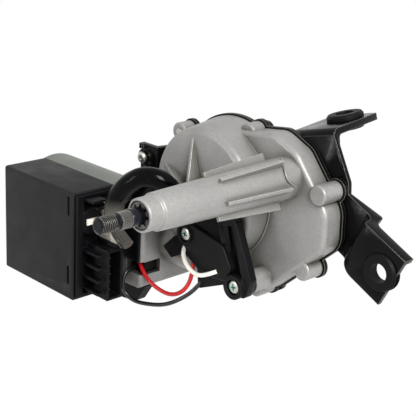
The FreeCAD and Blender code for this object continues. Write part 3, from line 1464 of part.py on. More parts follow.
# Breather elbow and leads
ELBOW_ROOT = [(0, 0, 0), (0, -8, 0), (1.5, -13.5, 8.5), (-2.5, -19, 13.8)]
ELBOW_HOOK = [(38.0, 16, 16.8), (29.5, 13, 10.4), (22.8, 12, 1.7), (20.6, 12, -5.5), (22.0, 12, -12.5)]
ELBOW_OUTLET = [(21.8, 12, -10.0), (23.4, 12, -16.5), (33.6, 12, -22.2)]


def breather_elbow():
    """A moulded rubber elbow pushed against the drum's vent boss, with a web in its crook."""
    root = Vector(wheel_x.number, drum_face_y.number - centre_boss_length.number, wheel_z.number)
    corner = Vector(module_right_x.number, module_front_y.number,
                    module_bottom_z.number + module_height.number)
    points = [root + Vector(*step) for step in ELBOW_ROOT] + [corner + Vector(*step) for step in ELBOW_HOOK]
    tube, route, radii = hose(points, elbow_radius.number)
    outlet, _, _ = hose([corner + Vector(*step) for step in ELBOW_OUTLET], elbow_tip_radius.number)
    crook = [(point.x, point.z, 0) for point in (points[3], points[4], points[5], points[6], points[7])]
    web = rounded_plate(crook, points[5].y + 1, 2.5)
    print("breather_elbow radii", ["%.1f" % radius for radius in radii])
    return shaped("breather_elbow", solid_of(fused([tube, outlet, web])))


# Each lead: points from the slot's front corner, then points from the switch cover's face
RED = ([(-8.5, 5, 0.6), (-4.5, 3.2, -3.1), (1.8, 2, -8.1)],
       [(-67, -2.5, -77.6), (-55.5, -1.5, -78.9), (-46, -0.5, -73.5), (-42.6, 2.4, -64.2), (-43.4, 3, -56)])
BLACK = ([(-10, 14.5, -5.3), (-10, -1.2, -5.3), (-9.5, -6, -12.3), (-8, -5, -19.7)],
         [(-78.5, -8, -88.8), (-67, -6.5, -87), (-56, -5, -83.8), (-46.5, -2.4, -77.8), (-40.2, 2.4, -71.2),
          (-37.6, 5.6, -65.2)])
WHITE = ([], [(-50, 5.5, -45.5), (-47.8, -1.5, -48.5), (-42.4, -3.8, -54.8), (-35, -3.8, -58.4), (-28, -3.4, -57.2),
              (-22.2, 0.3, -53.6)])


def lead_route(ends):
    """A lead's points in the frame, from its two lists."""
    slot = Vector(block_end_x.number, block_front_y.number, slot_top_z.number)
    face = Vector(0, switch_front_y.number, 0)
    return [slot + Vector(*step) for step in ends[0]] + [face + Vector(*step) for step in ends[1]]


def lead(label, ends):
    points = lead_route(ends)
    tube, route, radii = hose(points, lead_radius.number)
    print(label, [tuple(round(value, 2) for value in point) for point in points])
    print(label, "length %.1f" % route.Length, "radii", ["%.1f" % radius for radius in radii],
          "volume ratio %.4f" % (tube.Volume / (math.pi * lead_radius.number ** 2 * route.Length)))
    return shaped(label, solid_of(tube))


def drain_cap():
    """The moulded cap under the motor block."""
    right, low = block_end_x.number, block_bottom_z.number
    front = block_front_y.number + 4
    outline = [(right - 27, low, 0), (right - 27, low - 14, 6), (right - 9, low - 12.2, 6), (right - 1, low, 0)]
    cap = rounded_plate(outline, front, 7)
    crown = [edge for edge in cap.Edges if abs(edge.BoundBox.YMax - front) < 0.01
             and edge.BoundBox.ZMin < low - 0.1]
    return shaped("drain_cap", cap.makeFillet(1.0, crown))


def shaft_fittings():
    """Bushes, seal and washer that stay in the tube."""
    inner = journal_radius + running_clearance
    seal_start = mouth_y + mouth_depth
    ring("shaft_seal", "Y", neck_radius + running_clearance, tube_bore_radius, shaft_seal_length,
         0, seal_start, 0)
    ring("front_bush", "Y", inner, tube_bore_radius, bush_length,
         0, seal_start + shaft_seal_length + axial_clearance * 4, 0)
    ring("rear_bush", "Y", inner, tube_bore_radius, bush_length, 0, chamber_floor_y - bush_length, 0)
    foot = gear_front_y - axial_clearance * 1.5
    turned("link_pin", "Y", [(foot, 0), (foot, pivot_radius),
                             (link_back_y, pivot_radius), (link_back_y, 0)], pivot_x, 0, pivot_z)


PIECES = []


def build():
    output_shaft()
    retaining_ring()
    pinion()
    guide_link()
    sector_rod()
    worm_wheel()
    worm_wheel_pieces()
    worm()
    armature_pieces()
    armature_core()
    gear_housing()
    gear_cover()
    cover_gasket()
    cover_screws()
    mounting_bracket()
    spot, direction = upper_hole()
    grommet("upper_grommet", spot, direction, upper_grommet_length)
    spot, direction = lower_hole()
    grommet("lower_grommet", spot, direction, lower_grommet_length)
    ear_screw()
    motor_can()
    field_magnets()
    motor_bearings()
    brush_card()
    brushes()
    module_cover()
    module_base()
    terminal_holder()
    module_inside()
    shaped("connector_blades", Part.Compound(connector_blades()))
    switch_cover()
    switch_screws()
    breather_elbow()
    lead("red_lead", RED)
    lead("black_lead", BLACK)
    lead("white_lead", WHITE)
    drain_cap()
    shaft_fittings()


def sub_parts():
    """The document's finished pieces: its bodies and its shaped features."""
    pieces = []
    for item in DOC.Objects:
        if item.TypeId == "PartDesign::Body" or item.TypeId == "Part::Feature":
            if item.getParentGeoFeatureGroup() is None:
                pieces.append(item)
    return pieces


def check(pieces):
    """Stop if any object failed or any piece is empty or not valid."""
    for item in DOC.Objects:
        if "Invalid" in item.State or "Error" in item.State:
            raise RuntimeError("%s failed: %s" % (item.Label, item.State))
    for piece in pieces:
        if piece.Shape.isNull() or not piece.Shape.isValid() or not piece.Shape.Solids:
            raise RuntimeError("%s has no valid solid" % piece.Label)


def export(pieces):
    os.makedirs("parts", exist_ok=True)
    for piece in pieces:
        piece.Shape.exportStep("parts/%s.step" % piece.Label)
        print("%-18s %d solids  %.0f mm3" % (piece.Label, len(piece.Shape.Solids), piece.Shape.Volume))


build()
DOC.recompute()
pieces = sub_parts()
check(pieces)
export(pieces)
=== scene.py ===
"""Looks of a rear wiper motor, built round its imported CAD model.

Metres, in the CAD frame: the origin is on the output shaft's axis in the middle of the
splines, +Y runs along the shaft into the gearbox, +X points away from the motor can and
+Z is up. Sizes written in millimetres are turned to metres by mm() or metres().
"""

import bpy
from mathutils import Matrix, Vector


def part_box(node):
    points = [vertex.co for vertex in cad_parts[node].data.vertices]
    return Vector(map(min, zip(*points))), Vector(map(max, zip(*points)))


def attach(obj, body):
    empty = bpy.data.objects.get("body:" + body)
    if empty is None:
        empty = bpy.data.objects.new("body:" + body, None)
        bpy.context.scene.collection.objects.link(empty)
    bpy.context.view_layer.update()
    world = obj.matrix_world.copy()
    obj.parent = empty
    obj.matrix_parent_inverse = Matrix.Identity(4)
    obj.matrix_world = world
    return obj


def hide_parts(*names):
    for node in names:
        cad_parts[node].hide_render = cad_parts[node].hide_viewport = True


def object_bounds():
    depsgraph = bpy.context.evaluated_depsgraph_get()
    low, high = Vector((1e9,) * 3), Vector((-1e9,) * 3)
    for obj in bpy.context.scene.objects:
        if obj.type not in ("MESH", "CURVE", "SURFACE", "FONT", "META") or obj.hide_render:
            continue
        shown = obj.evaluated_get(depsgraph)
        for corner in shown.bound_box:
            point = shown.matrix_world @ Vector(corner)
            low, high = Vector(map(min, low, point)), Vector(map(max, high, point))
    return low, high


bl_info = {
    "name": "Rear wiper motor",
    "version": (1, 0, 0),
    "blender": (4, 5, 0),
    "location": "View3D > Sidebar > Wiper motor",
    "description": "Dresses the packed wiper motor with finishes and detail",
    "category": "Object",
}

import math

import bpy
from mathutils import Vector

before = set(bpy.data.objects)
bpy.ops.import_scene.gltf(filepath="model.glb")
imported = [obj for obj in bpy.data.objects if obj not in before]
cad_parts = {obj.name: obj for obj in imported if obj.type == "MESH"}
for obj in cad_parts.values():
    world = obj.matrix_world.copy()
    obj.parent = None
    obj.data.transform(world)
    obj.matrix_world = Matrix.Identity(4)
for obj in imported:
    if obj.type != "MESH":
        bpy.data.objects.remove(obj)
CAD_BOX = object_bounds()
LEAD_DIAMETER = 0.0024
FACING_Y = (math.pi / 2, 0, 0)
WHITE = (1, 1, 1, 1)
# Each lead: node, finish, length and the corners of its route from its exit, in millimetres
LEADS = (
    ("red_lead", "extruded red vinyl", 63.2, (
        (-85.5, 85.0, -64.9), (-81.5, 83.2, -68.6), (-75.2, 82.0, -73.6), (-67.0, 82.5, -77.6),
        (-55.5, 83.5, -78.9), (-46.0, 84.5, -73.5), (-42.6, 87.4, -64.2), (-43.4, 88.0, -56.0))),
    ("black_lead", "extruded black vinyl", 90.1, (
        (-87.0, 94.5, -70.8), (-87.0, 78.8, -70.8), (-86.5, 74.0, -77.8), (-85.0, 75.0, -85.2),
        (-78.5, 77.0, -88.8), (-67.0, 78.5, -87.0), (-56.0, 80.0, -83.8), (-46.5, 82.6, -77.8),
        (-40.2, 87.4, -71.2), (-37.6, 90.6, -65.2))),
    ("white_lead", "extruded white vinyl", 38.7, (
        (-50.0, 90.5, -45.5), (-47.8, 83.5, -48.5), (-42.4, 81.2, -54.8), (-35.0, 81.2, -58.4),
        (-28.0, 81.6, -57.2), (-22.2, 85.3, -53.6))),
)


def mm(value):
    """Millimetres as metres."""
    return value / 1000


def metres(spot):
    """A place in millimetres as one in metres."""
    return [mm(level) for level in spot]


def linear(colour):
    """An sRGB hex colour as linear red, green, blue and alpha."""
    levels = [int(colour[place:place + 2], 16) / 255 for place in (1, 3, 5)]
    return [level / 12.92 if level <= 0.04045 else ((level + 0.055) / 1.055) ** 2.4
            for level in levels] + [1.0]


# Settings that a user would change

def number(name, description, default, **settings):
    """A property that holds a number of 0 or more."""
    return bpy.props.FloatProperty(name=name, description=description, default=default, min=0, **settings)


def length(name, description, default):
    """A length property whose default is in millimetres."""
    return number(name, description, mm(default), subtype="DISTANCE", unit="LENGTH", precision=5)


def colour(name, description, default):
    """A colour property that holds an sRGB hex value."""
    return bpy.props.StringProperty(name=name, description=description, default=default)


class ShaftSizes(bpy.types.PropertyGroup):
    """Sizes of the output shaft's visible end"""
    thread_radius: length("Thread radius", "Crests of the arm nut's thread", 4.0)
    thread_pitch: length("Thread pitch", "From crest to crest", 1.0)
    thread_depth: length("Thread depth", "Crest to root", 0.6)
    thread_end: length("Thread's end", "From the middle of the splines to the thread's inner end", 6.0)
    tip: length("Tip", "From the middle of the splines to the shaft's tip", 14.7)
    relief_radius: length("Relief radius", "Groove behind the thread", 3.3)
    spline_radius: length("Spline radius", "Crests of the splines", 4.2)
    spline_depth: length("Spline depth", "Crest to root", 0.34)
    spline_length: length("Spline length", "Along the shaft", 6.0)
    splines: bpy.props.IntProperty(name="Splines", description="Round the shaft", default=36, min=1)
    neck_radius: length("Neck radius", "Plain neck through the seal", 4.4)


class ScrewSizes(bpy.types.PropertyGroup):
    """Sizes of the switch cover's screws"""
    head_radius: length("Head radius", "Screws of the switch cover", 3.9)
    lower_step: length("Lower step", "The lower screw sits deeper by this", 1.8)
    switch_shank: length("Shank", "From the head's crown to the shank's end", 11.0)


class FinishColours(bpy.types.PropertyGroup):
    """Colours of the finishes, and of their worn edges"""
    casting: colour("Casting", "Die-cast aluminium", "#9A9997")
    # Colour of the die's flow marks, and of the painted shade in the casting's corners
    casting_marks_and_shade: colour("Casting grime", "Film in the casting's corners", "#4D4A41")
    # Paler edges: painted highlight, and polish from handling
    casting_edge: colour("Casting edge", "Polished by handling", "#C4C1BB")
    can: colour("Can", "Zinc-plated drawn steel", "#777B74")
    bracket: colour("Bracket", "Black electrocoated steel", "#070708")
    # Painted highlight along the bracket's edges, and partly thin coat
    bracket_edge: colour("Bracket edge", "Thin coat at sheared edges", "#67645C")
    moulding: colour("Moulding", "Glass-filled polyamide", "#0B0B0D")
    moulding_edge: colour("Moulding edge", "Rubbed corners", "#2C2D30")
    cover: colour("Module cover", "Matt moulded cover", "#212122")
    cover_edge: colour("Module cover edge", "Rubbed corners", "#3B3D40")
    rubber: colour("Rubber", "Moulded rubber", "#080809")
    rubber_edge: colour("Rubber edge", "Corners", "#1B1B1C")
    # Painted highlight along the elbow's parting bead
    rubber_bead_highlight: colour("Rubbed rubber", "Scuffed parting bead", "#77746D")
    elbow: colour("Elbow", "Glossy rubber", "#030304")
    elbow_edge: colour("Elbow edge", "Corners", "#1A1A1C")
    # Painted sheen on the elbow's lower limb, in place of a reflection
    painted_sheen: colour("Rubber bloom", "Grey film on old rubber", "#5A5751")
    shaft: colour("Shaft", "Phosphated steel", "#17181B")
    shaft_edge: colour("Shaft edge", "Bare steel at sharp corners", "#8C8B87")
    shaft_crest: colour("Shaft crests", "Rubbed by the nut and the arm", "#7F7D78")
    ring: colour("Retaining ring", "Dull spring steel", "#5E5D58")
    ring_edge: colour("Retaining ring edge", "Bare corners", "#8A8880")
    neck: colour("Neck", "Ground steel neck", "#26282F")
    neck_edge: colour("Neck edge", "Bare corners", "#8B93A0")
    zinc: colour("Zinc", "Plated screws", "#C6C8BE")
    zinc_edge: colour("Zinc edge", "Bright rims", "#E8E9E2")
    recess: colour("Recess", "Passivation left in the recess", "#4E9C8B")
    steel: colour("Steel", "Machined steel", "#8E8F90")
    steel_edge: colour("Steel edge", "Bright corners", "#C0C0C0")
    copper: colour("Copper", "Enamelled winding wire", "#A8552A")
    brass: colour("Brass", "Tinned contact", "#B7A98A")
    bronze: colour("Bronze", "Sintered bush", "#8A6A3F")
    acetal: colour("Acetal", "Moulded gear", "#E6E0D0")
    board: colour("Board", "Glass epoxy board", "#1F5A37")
    ferrite: colour("Ferrite", "Sintered magnet", "#2A2B2D")
    red: colour("Red lead", "Insulation", "#C4161C")
    black: colour("Black lead", "Insulation", "#111113")
    white: colour("White lead", "Insulation", "#E9E6DA")
    cream: colour("Cream part", "Natural polyamide", "#F0EBDD")


class StageSizes(bpy.types.PropertyGroup):
    """The photograph's camera, and the light"""
    camera_place: bpy.props.FloatVectorProperty(
        name="Camera place", description="Where the photograph was taken from", size=3,
        default=(0.32826, -0.27918, 0.15414), subtype="TRANSLATION", unit="LENGTH")
    camera_turn: bpy.props.FloatVectorProperty(
        name="Camera turn", description="How the camera was held", size=3,
        default=(math.radians(71.152), math.radians(-2.936), math.radians(45.618)),
        subtype="EULER", unit="ROTATION")
    lens: number("Lens", "Focal length in millimetres on a 36 mm sensor", 88.575)
    floor: colour("Floor", "Studio floor", "#F4F4F4")
    key_power: number("Key lamp", "Broad lamp above on the right", 11.5, unit="POWER")
    strip_power: number("Strip lamp", "Narrow lamp low on the left", 0.8, unit="POWER")
    sky_low: number("Sky low down", "Soft light from below, where 1 is white", 0.1)
    sky_high: number("Sky overhead", "Soft light from above, where 1 is white", 0.42)


# Nodes and materials

def add_node(tree, kind, sockets=None, links=None, **settings):
    """Add a node, set its settings and its sockets' values, and link its inputs."""
    node = tree.nodes.new(kind)
    for name, value in settings.items():
        setattr(node, name, value)
    for name, value in (sockets or {}).items():
        node.inputs[name].default_value = value
    for name, output in (links or {}).items():
        tree.links.new(output, node.inputs[name])
    return node


def new_material(name):
    """An empty material with a Principled shader on its output."""
    material = bpy.data.materials.new(name)
    material.use_nodes = True
    tree = material.node_tree
    tree.nodes.clear()
    shader = add_node(tree, "ShaderNodeBsdfPrincipled")
    add_node(tree, "ShaderNodeOutputMaterial", links={"Surface": shader.outputs["BSDF"]})
    return material, tree, shader


def edge_wear_and_highlight(tree, radius, sharp):
    """A normal rounded over the edges, and a mask that rises to 1 where it leans as far as sharp says."""
    rounded = add_node(tree, "ShaderNodeBevel", {"Radius": radius}, samples=6)
    true = add_node(tree, "ShaderNodeNewGeometry")
    facing = add_node(tree, "ShaderNodeVectorMath", operation="DOT_PRODUCT",
                      links={0: rounded.outputs["Normal"], 1: true.outputs["Normal"]})
    mask = add_node(tree, "ShaderNodeMapRange", {"From Min": 1.0, "From Max": sharp},
                    {"Value": facing.outputs["Value"]})
    return rounded, mask


def surface_grain(tree, place, width, depth, rounded):
    """Bumps of a width in millimetres on the rounded normal; the highest stand 0.05 mm at a depth of 1."""
    noise = add_node(tree, "ShaderNodeTexNoise", {"Scale": 1 / mm(width), "Detail": 4.0, "Roughness": 0.6},
                     {"Vector": place.outputs["Object"]})
    return add_node(tree, "ShaderNodeBump", {"Strength": depth, "Distance": mm(0.05)},
                    {"Height": noise.outputs["Fac"], "Normal": rounded.outputs["Normal"]})


def mottled(tree, place, width, low, high, detail=3.0):
    """Cloudy variation between two numbers, in patches of a width in millimetres."""
    noise = add_node(tree, "ShaderNodeTexNoise", {"Scale": 1 / mm(width), "Detail": detail},
                     {"Vector": place.outputs["Object"]})
    # The noise seldom leaves 0.3 to 0.7
    limits = {"From Min": 0.3, "From Max": 0.7, "To Min": low, "To Max": high}
    return add_node(tree, "ShaderNodeMapRange", limits, {"Value": noise.outputs["Fac"]})


def blended(tree, first, second, factor):
    """Two colours mixed by a factor output; either may be a linear colour or an output."""
    # The Mix node's sockets for colours
    first_colour, second_colour, result = 6, 7, 2
    sockets, links = {}, {"Factor": factor}
    for socket, value in ((first_colour, first), (second_colour, second)):
        (sockets if isinstance(value, list) else links)[socket] = value
    return add_node(tree, "ShaderNodeMix", sockets, links, data_type="RGBA").outputs[result]


def solid_finish(name, base, edge="", roughness=0.3, spread=0.05, metallic=0.0, edge_radius=0.2,
                 grain=0.3, grain_depth=0.1, shade=0.1, cloud=8, specular=0.5, sharp=0.86):
    """A finish with clouds of tone, grain and rounded edges, whose widths are in millimetres.

    A pixel of the picture is about 0.5 mm wide, so grain that is really finer than that is drawn
    coarser, to break up the highlights.
    """
    material, tree, shader = new_material(name)
    place = add_node(tree, "ShaderNodeTexCoord")
    # Edge colour: wear on most finishes, and painted highlight on the casting and the bracket
    rounded, mask = edge_wear_and_highlight(tree, mm(edge_radius), sharp)
    bump = surface_grain(tree, place, grain, grain_depth, rounded)
    tone = mottled(tree, place, cloud, 0.0, 1.0)
    pale = linear(base)
    dark = [level * (1 - shade) for level in pale[:3]] + [1.0]
    tinted = blended(tree, dark, pale, tone.outputs["Result"])
    if edge:
        tinted = blended(tree, tinted, linear(edge), mask.outputs["Result"])
    # The shine varies in smaller patches than the tone
    rough = mottled(tree, place, cloud * 0.4, roughness - spread, roughness + spread)
    tree.links.new(tinted, shader.inputs["Base Color"])
    tree.links.new(rough.outputs["Result"], shader.inputs["Roughness"])
    tree.links.new(bump.outputs["Normal"], shader.inputs["Normal"])
    shader.inputs["Metallic"].default_value = metallic
    shader.inputs["Specular IOR Level"].default_value = specular
    return material


def tint_over(material, colour, mask):
    """Lay a colour over a material's own where a mask output is 1."""
    tree = material.node_tree
    shader = next(node for node in tree.nodes if node.type == "BSDF_PRINCIPLED")
    own = shader.inputs["Base Color"].links[0].from_socket
    tree.links.new(blended(tree, own, linear(colour), mask), shader.inputs["Base Color"])


class WIPER_OT_finishes(bpy.types.Operator):
    """Make the finishes and give them to the CAD nodes"""
    bl_idname = "wiper.finishes"
    bl_label = "Finishes"

    def execute(self, context):
        hue = context.scene.wiper_colours
        for group in (self.housing, self.mouldings, self.rubbers, self.shaft_and_screws, self.gear_train,
                      self.electrics):
            for material, names in group(hue):
                for name in names.split():
                    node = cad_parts[name]
                    node.data.materials.clear()
                    node.data.materials.append(material)
        self.insulation(hue)
        return {"FINISHED"}

    def housing(self, hue):
        """The casting, the can and the pressed sheet."""
        # Satin grey with a sandy skin and soft clouds. Its edges are paler with painted highlight and
        # with polish from handling, and painted shade darkens its corners. The skin's grain of about
        # 0.1 mm is drawn at 0.6 mm.
        casting = solid_finish(
            "die cast aluminium", hue.casting, hue.casting_edge, roughness=0.4, spread=0.08, metallic=0.35,
            edge_radius=0.6, grain=0.6, grain_depth=0.4, shade=0.16, cloud=22, specular=0.3)
        self.marks_and_shade(casting, hue.casting_marks_and_shade)
        # Even greenish grey with one broad highlight along the can. Drawing marks of about 0.05 mm are
        # drawn at 0.5 mm.
        can = solid_finish(
            "zinc plated drawn steel", hue.can, roughness=0.42, metallic=0.4, edge_radius=0.5, grain=0.5,
            shade=0.06, cloud=30, specular=0.2)
        # Deep glossy black with a little orange peel, which really is 0.8 mm wide. The grey lines along
        # its edges are painted highlight, and partly the coat running thin at sheared edges.
        coat = solid_finish(
            "black electrocoat", hue.bracket, hue.bracket_edge, roughness=0.18, edge_radius=0.9, grain=0.8,
            grain_depth=0.12, shade=0.2, cloud=15, specular=0.1, sharp=0.8)
        return (casting, "gear_housing"), (can, "motor_can"), (coat, "mounting_bracket gear_cover")

    def mouldings(self, hue):
        """The plastic pieces."""
        # Charcoal that reflects nothing sharp, from a spark-textured mould. Its grain of about 0.05 mm is
        # drawn at 0.25 mm.
        cover = solid_finish(
            "spark textured polyamide", hue.cover, hue.cover_edge, roughness=0.52, spread=0.06,
            edge_radius=0.4, grain=0.25, grain_depth=0.35, shade=0.14, cloud=25, specular=0.12)
        # Blacker and a little shinier, its skin broken by glass fibres of about 0.1 mm, drawn at 0.3 mm
        moulding = solid_finish(
            "glass filled polyamide", hue.moulding, hue.moulding_edge, roughness=0.42, spread=0.06,
            edge_radius=0.35, grain_depth=0.3, shade=0.15, cloud=12, specular=0.12)
        # Warm white with a waxy sheen, uncoloured as it left the mould
        cream = solid_finish(
            "natural moulded polyamide", hue.cream, roughness=0.4, edge_radius=0.3, grain=0.4,
            grain_depth=0.15, shade=0.06)
        return ((cover, "module_cover"), (cream, "terminal_holder"),
                (moulding, "module_base switch_cover brush_card relay thrust_pad"))

    def rubbers(self, hue):
        """The grommets, the caps and the breather elbow."""
        # Dull black that swallows light. The mould's blasted skin of about 0.1 mm is drawn at 0.35 mm.
        rubber = solid_finish(
            "moulded rubber", hue.rubber, hue.rubber_edge, roughness=0.55, spread=0.08, edge_radius=0.4,
            grain=0.35, grain_depth=0.35, shade=0.2, specular=0.12)
        # Wet-looking black with small sharp highlights and faint ripples, really about 0.6 mm wide
        elbow = solid_finish(
            "glossy moulded rubber", hue.elbow, hue.elbow_edge, roughness=0.16, spread=0.04,
            edge_radius=0.3, grain=0.6, shade=0.3, cloud=12, specular=0.08)
        # The elbow's lower limb and outlet get a painted sheen, paler towards the bottom
        self.painted_sheen(elbow, hue.painted_sheen)
        # Pale line along the parting bead, a painted highlight where the elbow's outer edge catches the
        # light
        solid_finish(
            "rubbed rubber edge", hue.rubber_bead_highlight, roughness=0.35, edge_radius=0.1, grain=0.5,
            grain_depth=0.2, shade=0.3, cloud=5, specular=0.2)
        return ((elbow, "breather_elbow"),
                (rubber, "drain_cap upper_grommet lower_grommet cover_gasket shaft_seal"))

    def shaft_and_screws(self, hue):
        """The steel that shows outside."""
        # Near-black crystals that leave a soft grey shine on the thread. They are about 0.02 mm across,
        # and drawn at 0.3 mm.
        shaft = solid_finish(
            "phosphated steel", hue.shaft, hue.shaft_edge, roughness=0.34, spread=0.08, metallic=0.8,
            edge_radius=0.12, grain_depth=0.3, shade=0.25, cloud=4, sharp=0.6)
        self.crests(shaft, hue.shaft_crest)
        # Dull brownish grey, as oil-tempered strip is
        ring = solid_finish(
            "dull spring steel", hue.ring, hue.ring_edge, roughness=0.45, spread=0.06, metallic=0.6,
            edge_radius=0.12, grain_depth=0.2, shade=0.2, cloud=3)
        # Dark blue-grey with a tight shine. Grinding marks of about 0.01 mm are drawn at 0.4 mm.
        solid_finish(
            "ground steel neck", hue.neck, hue.neck_edge, roughness=0.26, metallic=0.9, edge_radius=0.1,
            grain=0.4, shade=0.2, cloud=3)
        # Bright silver with a yellowish cast and a brighter rim
        zinc = solid_finish(
            "zinc plated screw", hue.zinc, hue.zinc_edge, roughness=0.28, spread=0.06, metallic=0.95,
            grain=0.2, grain_depth=0.2, shade=0.12, cloud=2)
        # Blue-green film that collects in the recess and dulls it
        solid_finish(
            "chromate residue", hue.recess, roughness=0.4, spread=0.1, metallic=0.5, edge_radius=0.1,
            grain_depth=0.3, shade=0.3, cloud=1)
        return ((shaft, "output_shaft"), (ring, "retaining_ring"),
                (zinc, "cover_screws switch_screws bracket_screw"))

    def gear_train(self, hue):
        """The moving pieces inside, and their bearings."""
        # Bright grey with crisp edges. Cutting marks of about 0.05 mm are drawn at 0.3 mm.
        steel = solid_finish(
            "machined steel", hue.steel, hue.steel_edge, roughness=0.32, spread=0.06, metallic=0.95,
            grain_depth=0.15)
        # Brown-gold, matt and open-pored. Pores of about 0.05 mm are drawn at 0.15 mm.
        bronze = solid_finish(
            "sintered bronze", hue.bronze, roughness=0.45, metallic=0.9, grain=0.15, grain_depth=0.4,
            shade=0.15, cloud=3)
        # Milky white with a slippery sheen
        acetal = solid_finish(
            "moulded acetal", hue.acetal, roughness=0.35, spread=0.04, grain=0.4, shade=0.05)
        return ((steel, "pinion guide_link link_pin sector_rod crank_pin wheel_axle worm armature_shaft"
                        " armature_core"),
                (bronze, "can_bearing flange_bearing tunnel_bearing front_bush rear_bush"),
                (acetal, "worm_wheel"))

    def electrics(self, hue):
        """The windings, the magnets, the board and the contacts."""
        # Red-brown wire under clear enamel, in turns about 0.4 mm wide
        copper = solid_finish(
            "enamelled copper", hue.copper, metallic=0.9, grain=0.4, grain_depth=0.4, shade=0.2, cloud=3)
        # Pale gold, smooth from the tin bath
        brass = solid_finish("tinned brass", hue.brass, metallic=0.95, edge_radius=0.15, cloud=4)
        # Green lacquer over a weave, whose threads are really about 0.3 mm wide
        board = solid_finish(
            "glass epoxy board", hue.board, roughness=0.35, edge_radius=0.1, grain_depth=0.2, shade=0.2,
            cloud=3)
        # Dry dark grey like fired clay. Its grains of about 0.01 mm are drawn at 0.3 mm.
        ferrite = solid_finish(
            "sintered ferrite", hue.ferrite, roughness=0.6, edge_radius=0.3, grain_depth=0.3, cloud=5)
        return ((copper, "rear_winding front_winding commutator"), (brass, "connector_blades"),
                (board, "circuit_board"), (ferrite, "field_magnets brushes"))

    def insulation(self, hue):
        """The leads' jackets: smooth and slightly waxy, with the extruder's faint ripple of 0.6 mm."""
        for name, tint, roughness, shade in (("red", hue.red, 0.32, 0.08), ("black", hue.black, 0.3, 0.1),
                                             ("white", hue.white, 0.35, 0.06)):
            solid_finish(
                f"extruded {name} vinyl", tint, roughness=roughness, spread=0.03, edge_radius=0.1,
                grain=0.6, shade=shade, cloud=6)

    def marks_and_shade(self, material, dark):
        """Flow marks of the die on the casting, and painted shade that darkens its corners and beside its
        ribs.
        """
        tree = material.node_tree
        place = add_node(tree, "ShaderNodeTexCoord")
        marks = mottled(tree, place, 1.4, 0.0, 0.2, detail=6.0)
        tint_over(material, dark, marks.outputs["Result"])
        # Painted shade: the casting darkens where ambient occlusion finds corners and ribs close by
        corner = add_node(tree, "ShaderNodeAmbientOcclusion", {"Distance": mm(11)}, samples=8)
        limits = {"From Min": 0.93, "From Max": 0.42, "To Max": 0.95}
        film = add_node(tree, "ShaderNodeMapRange", limits, {"Value": corner.outputs["AO"]})
        tint_over(material, dark, film.outputs["Result"])

    def crests(self, material, pale):
        """Phosphate rubbed off the crests of the thread and splines, which leaves their roots dark."""
        tree = material.node_tree
        place = add_node(tree, "ShaderNodeTexCoord")
        across = add_node(tree, "ShaderNodeVectorMath", {1: (1, 0, 1)}, {0: place.outputs["Object"]},
                          operation="MULTIPLY")
        radius = add_node(tree, "ShaderNodeVectorMath", links={0: across.outputs["Vector"]},
                          operation="LENGTH")
        limits = {"From Min": mm(3.72), "From Max": mm(4.1), "To Max": 0.8}
        rubbed = add_node(tree, "ShaderNodeMapRange", limits, {"Value": radius.outputs["Value"]})
        tint_over(material, pale, rubbed.outputs["Result"])

    def painted_sheen(self, material, pale):
        """Painted sheen on the elbow's lower limb and outlet: paler grey towards the bottom, for a
        reflection.
        """
        tree = material.node_tree
        place = add_node(tree, "ShaderNodeTexCoord")
        level = add_node(tree, "ShaderNodeSeparateXYZ", links={0: place.outputs["Object"]})
        limits = {"From Min": mm(-19), "From Max": mm(-29), "To Max": 0.75}
        low = add_node(tree, "ShaderNodeMapRange", limits, {"Value": level.outputs["Z"]},
                       interpolation_type="SMOOTHSTEP")
        tint_over(material, pale, low.outputs["Result"])


# Modelling steps that several pieces share

def clear_selection():
    """Leave edit mode and select nothing."""
    active = bpy.context.view_layer.objects.active
    if active and active.mode != "OBJECT":
        bpy.ops.object.mode_set(mode="OBJECT")
    bpy.ops.object.select_all(action="DESELECT")


def select_only(piece):
    """Select one piece alone and make it active."""
    clear_selection()
    piece.select_set(True)
    bpy.context.view_layer.objects.active = piece


def edit_all():
    """Open the active piece in edit mode with everything selected."""
    bpy.ops.object.mode_set(mode="EDIT")
    bpy.ops.mesh.select_all(action="SELECT")


def new_object(name, data):
    """A new object that shows a mesh or a curve, selected alone."""
    piece = bpy.data.objects.new(name, data)
    bpy.context.collection.objects.link(piece)
    select_only(piece)
    return piece


def new_piece(name):
    """Name the primitive that was just added and put its place in its mesh."""
    piece = bpy.context.object
    piece.name = name
    bpy.ops.object.transform_apply(location=True, rotation=True, scale=True)
    return piece


def painted(piece, *finishes):
    """Give a piece its finishes by name."""
    for finish in finishes:
        piece.data.materials.append(bpy.data.materials[finish])
    return piece


def finished(piece, body, slot, *nodes):
    """Put a piece on its body, in place of the CAD nodes that it stands for; slot is not used."""
    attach(piece, body)
    if nodes:
        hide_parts(*nodes)


def joined(name, pieces):
    """Join pieces into one object."""
    select_only(pieces[0])
    for piece in pieces:
        piece.select_set(True)
    bpy.ops.object.join()
    pieces[0].name = name
    return pieces[0]


def close_up(angle=32):
    """Merge doubles, face outwards and smooth the shallow angles of the piece in edit mode."""
    bpy.ops.mesh.select_all(action="SELECT")
    bpy.ops.mesh.remove_doubles(threshold=mm(0.002))
    bpy.ops.mesh.normals_make_consistent(inside=False)
    bpy.ops.object.mode_set(mode="OBJECT")
    bpy.ops.object.shade_smooth_by_angle(angle=math.radians(angle))


def round_all(width):
    """Round every edge of the active piece by a width in millimetres."""
    edit_all()
    bpy.ops.mesh.bevel(offset=mm(width), segments=3, affect="EDGES")
    close_up()


def bevel_edges(piece, width, segments, angle):
    """Round a piece's edges that turn by more than an angle in degrees, by a width in millimetres."""
    edge = piece.modifiers.new("edge", "BEVEL")
    edge.width = mm(width)
    edge.segments = segments
    edge.limit_method = "ANGLE"
    edge.angle_limit = math.radians(angle)
    bpy.ops.object.modifier_apply(modifier=edge.name)


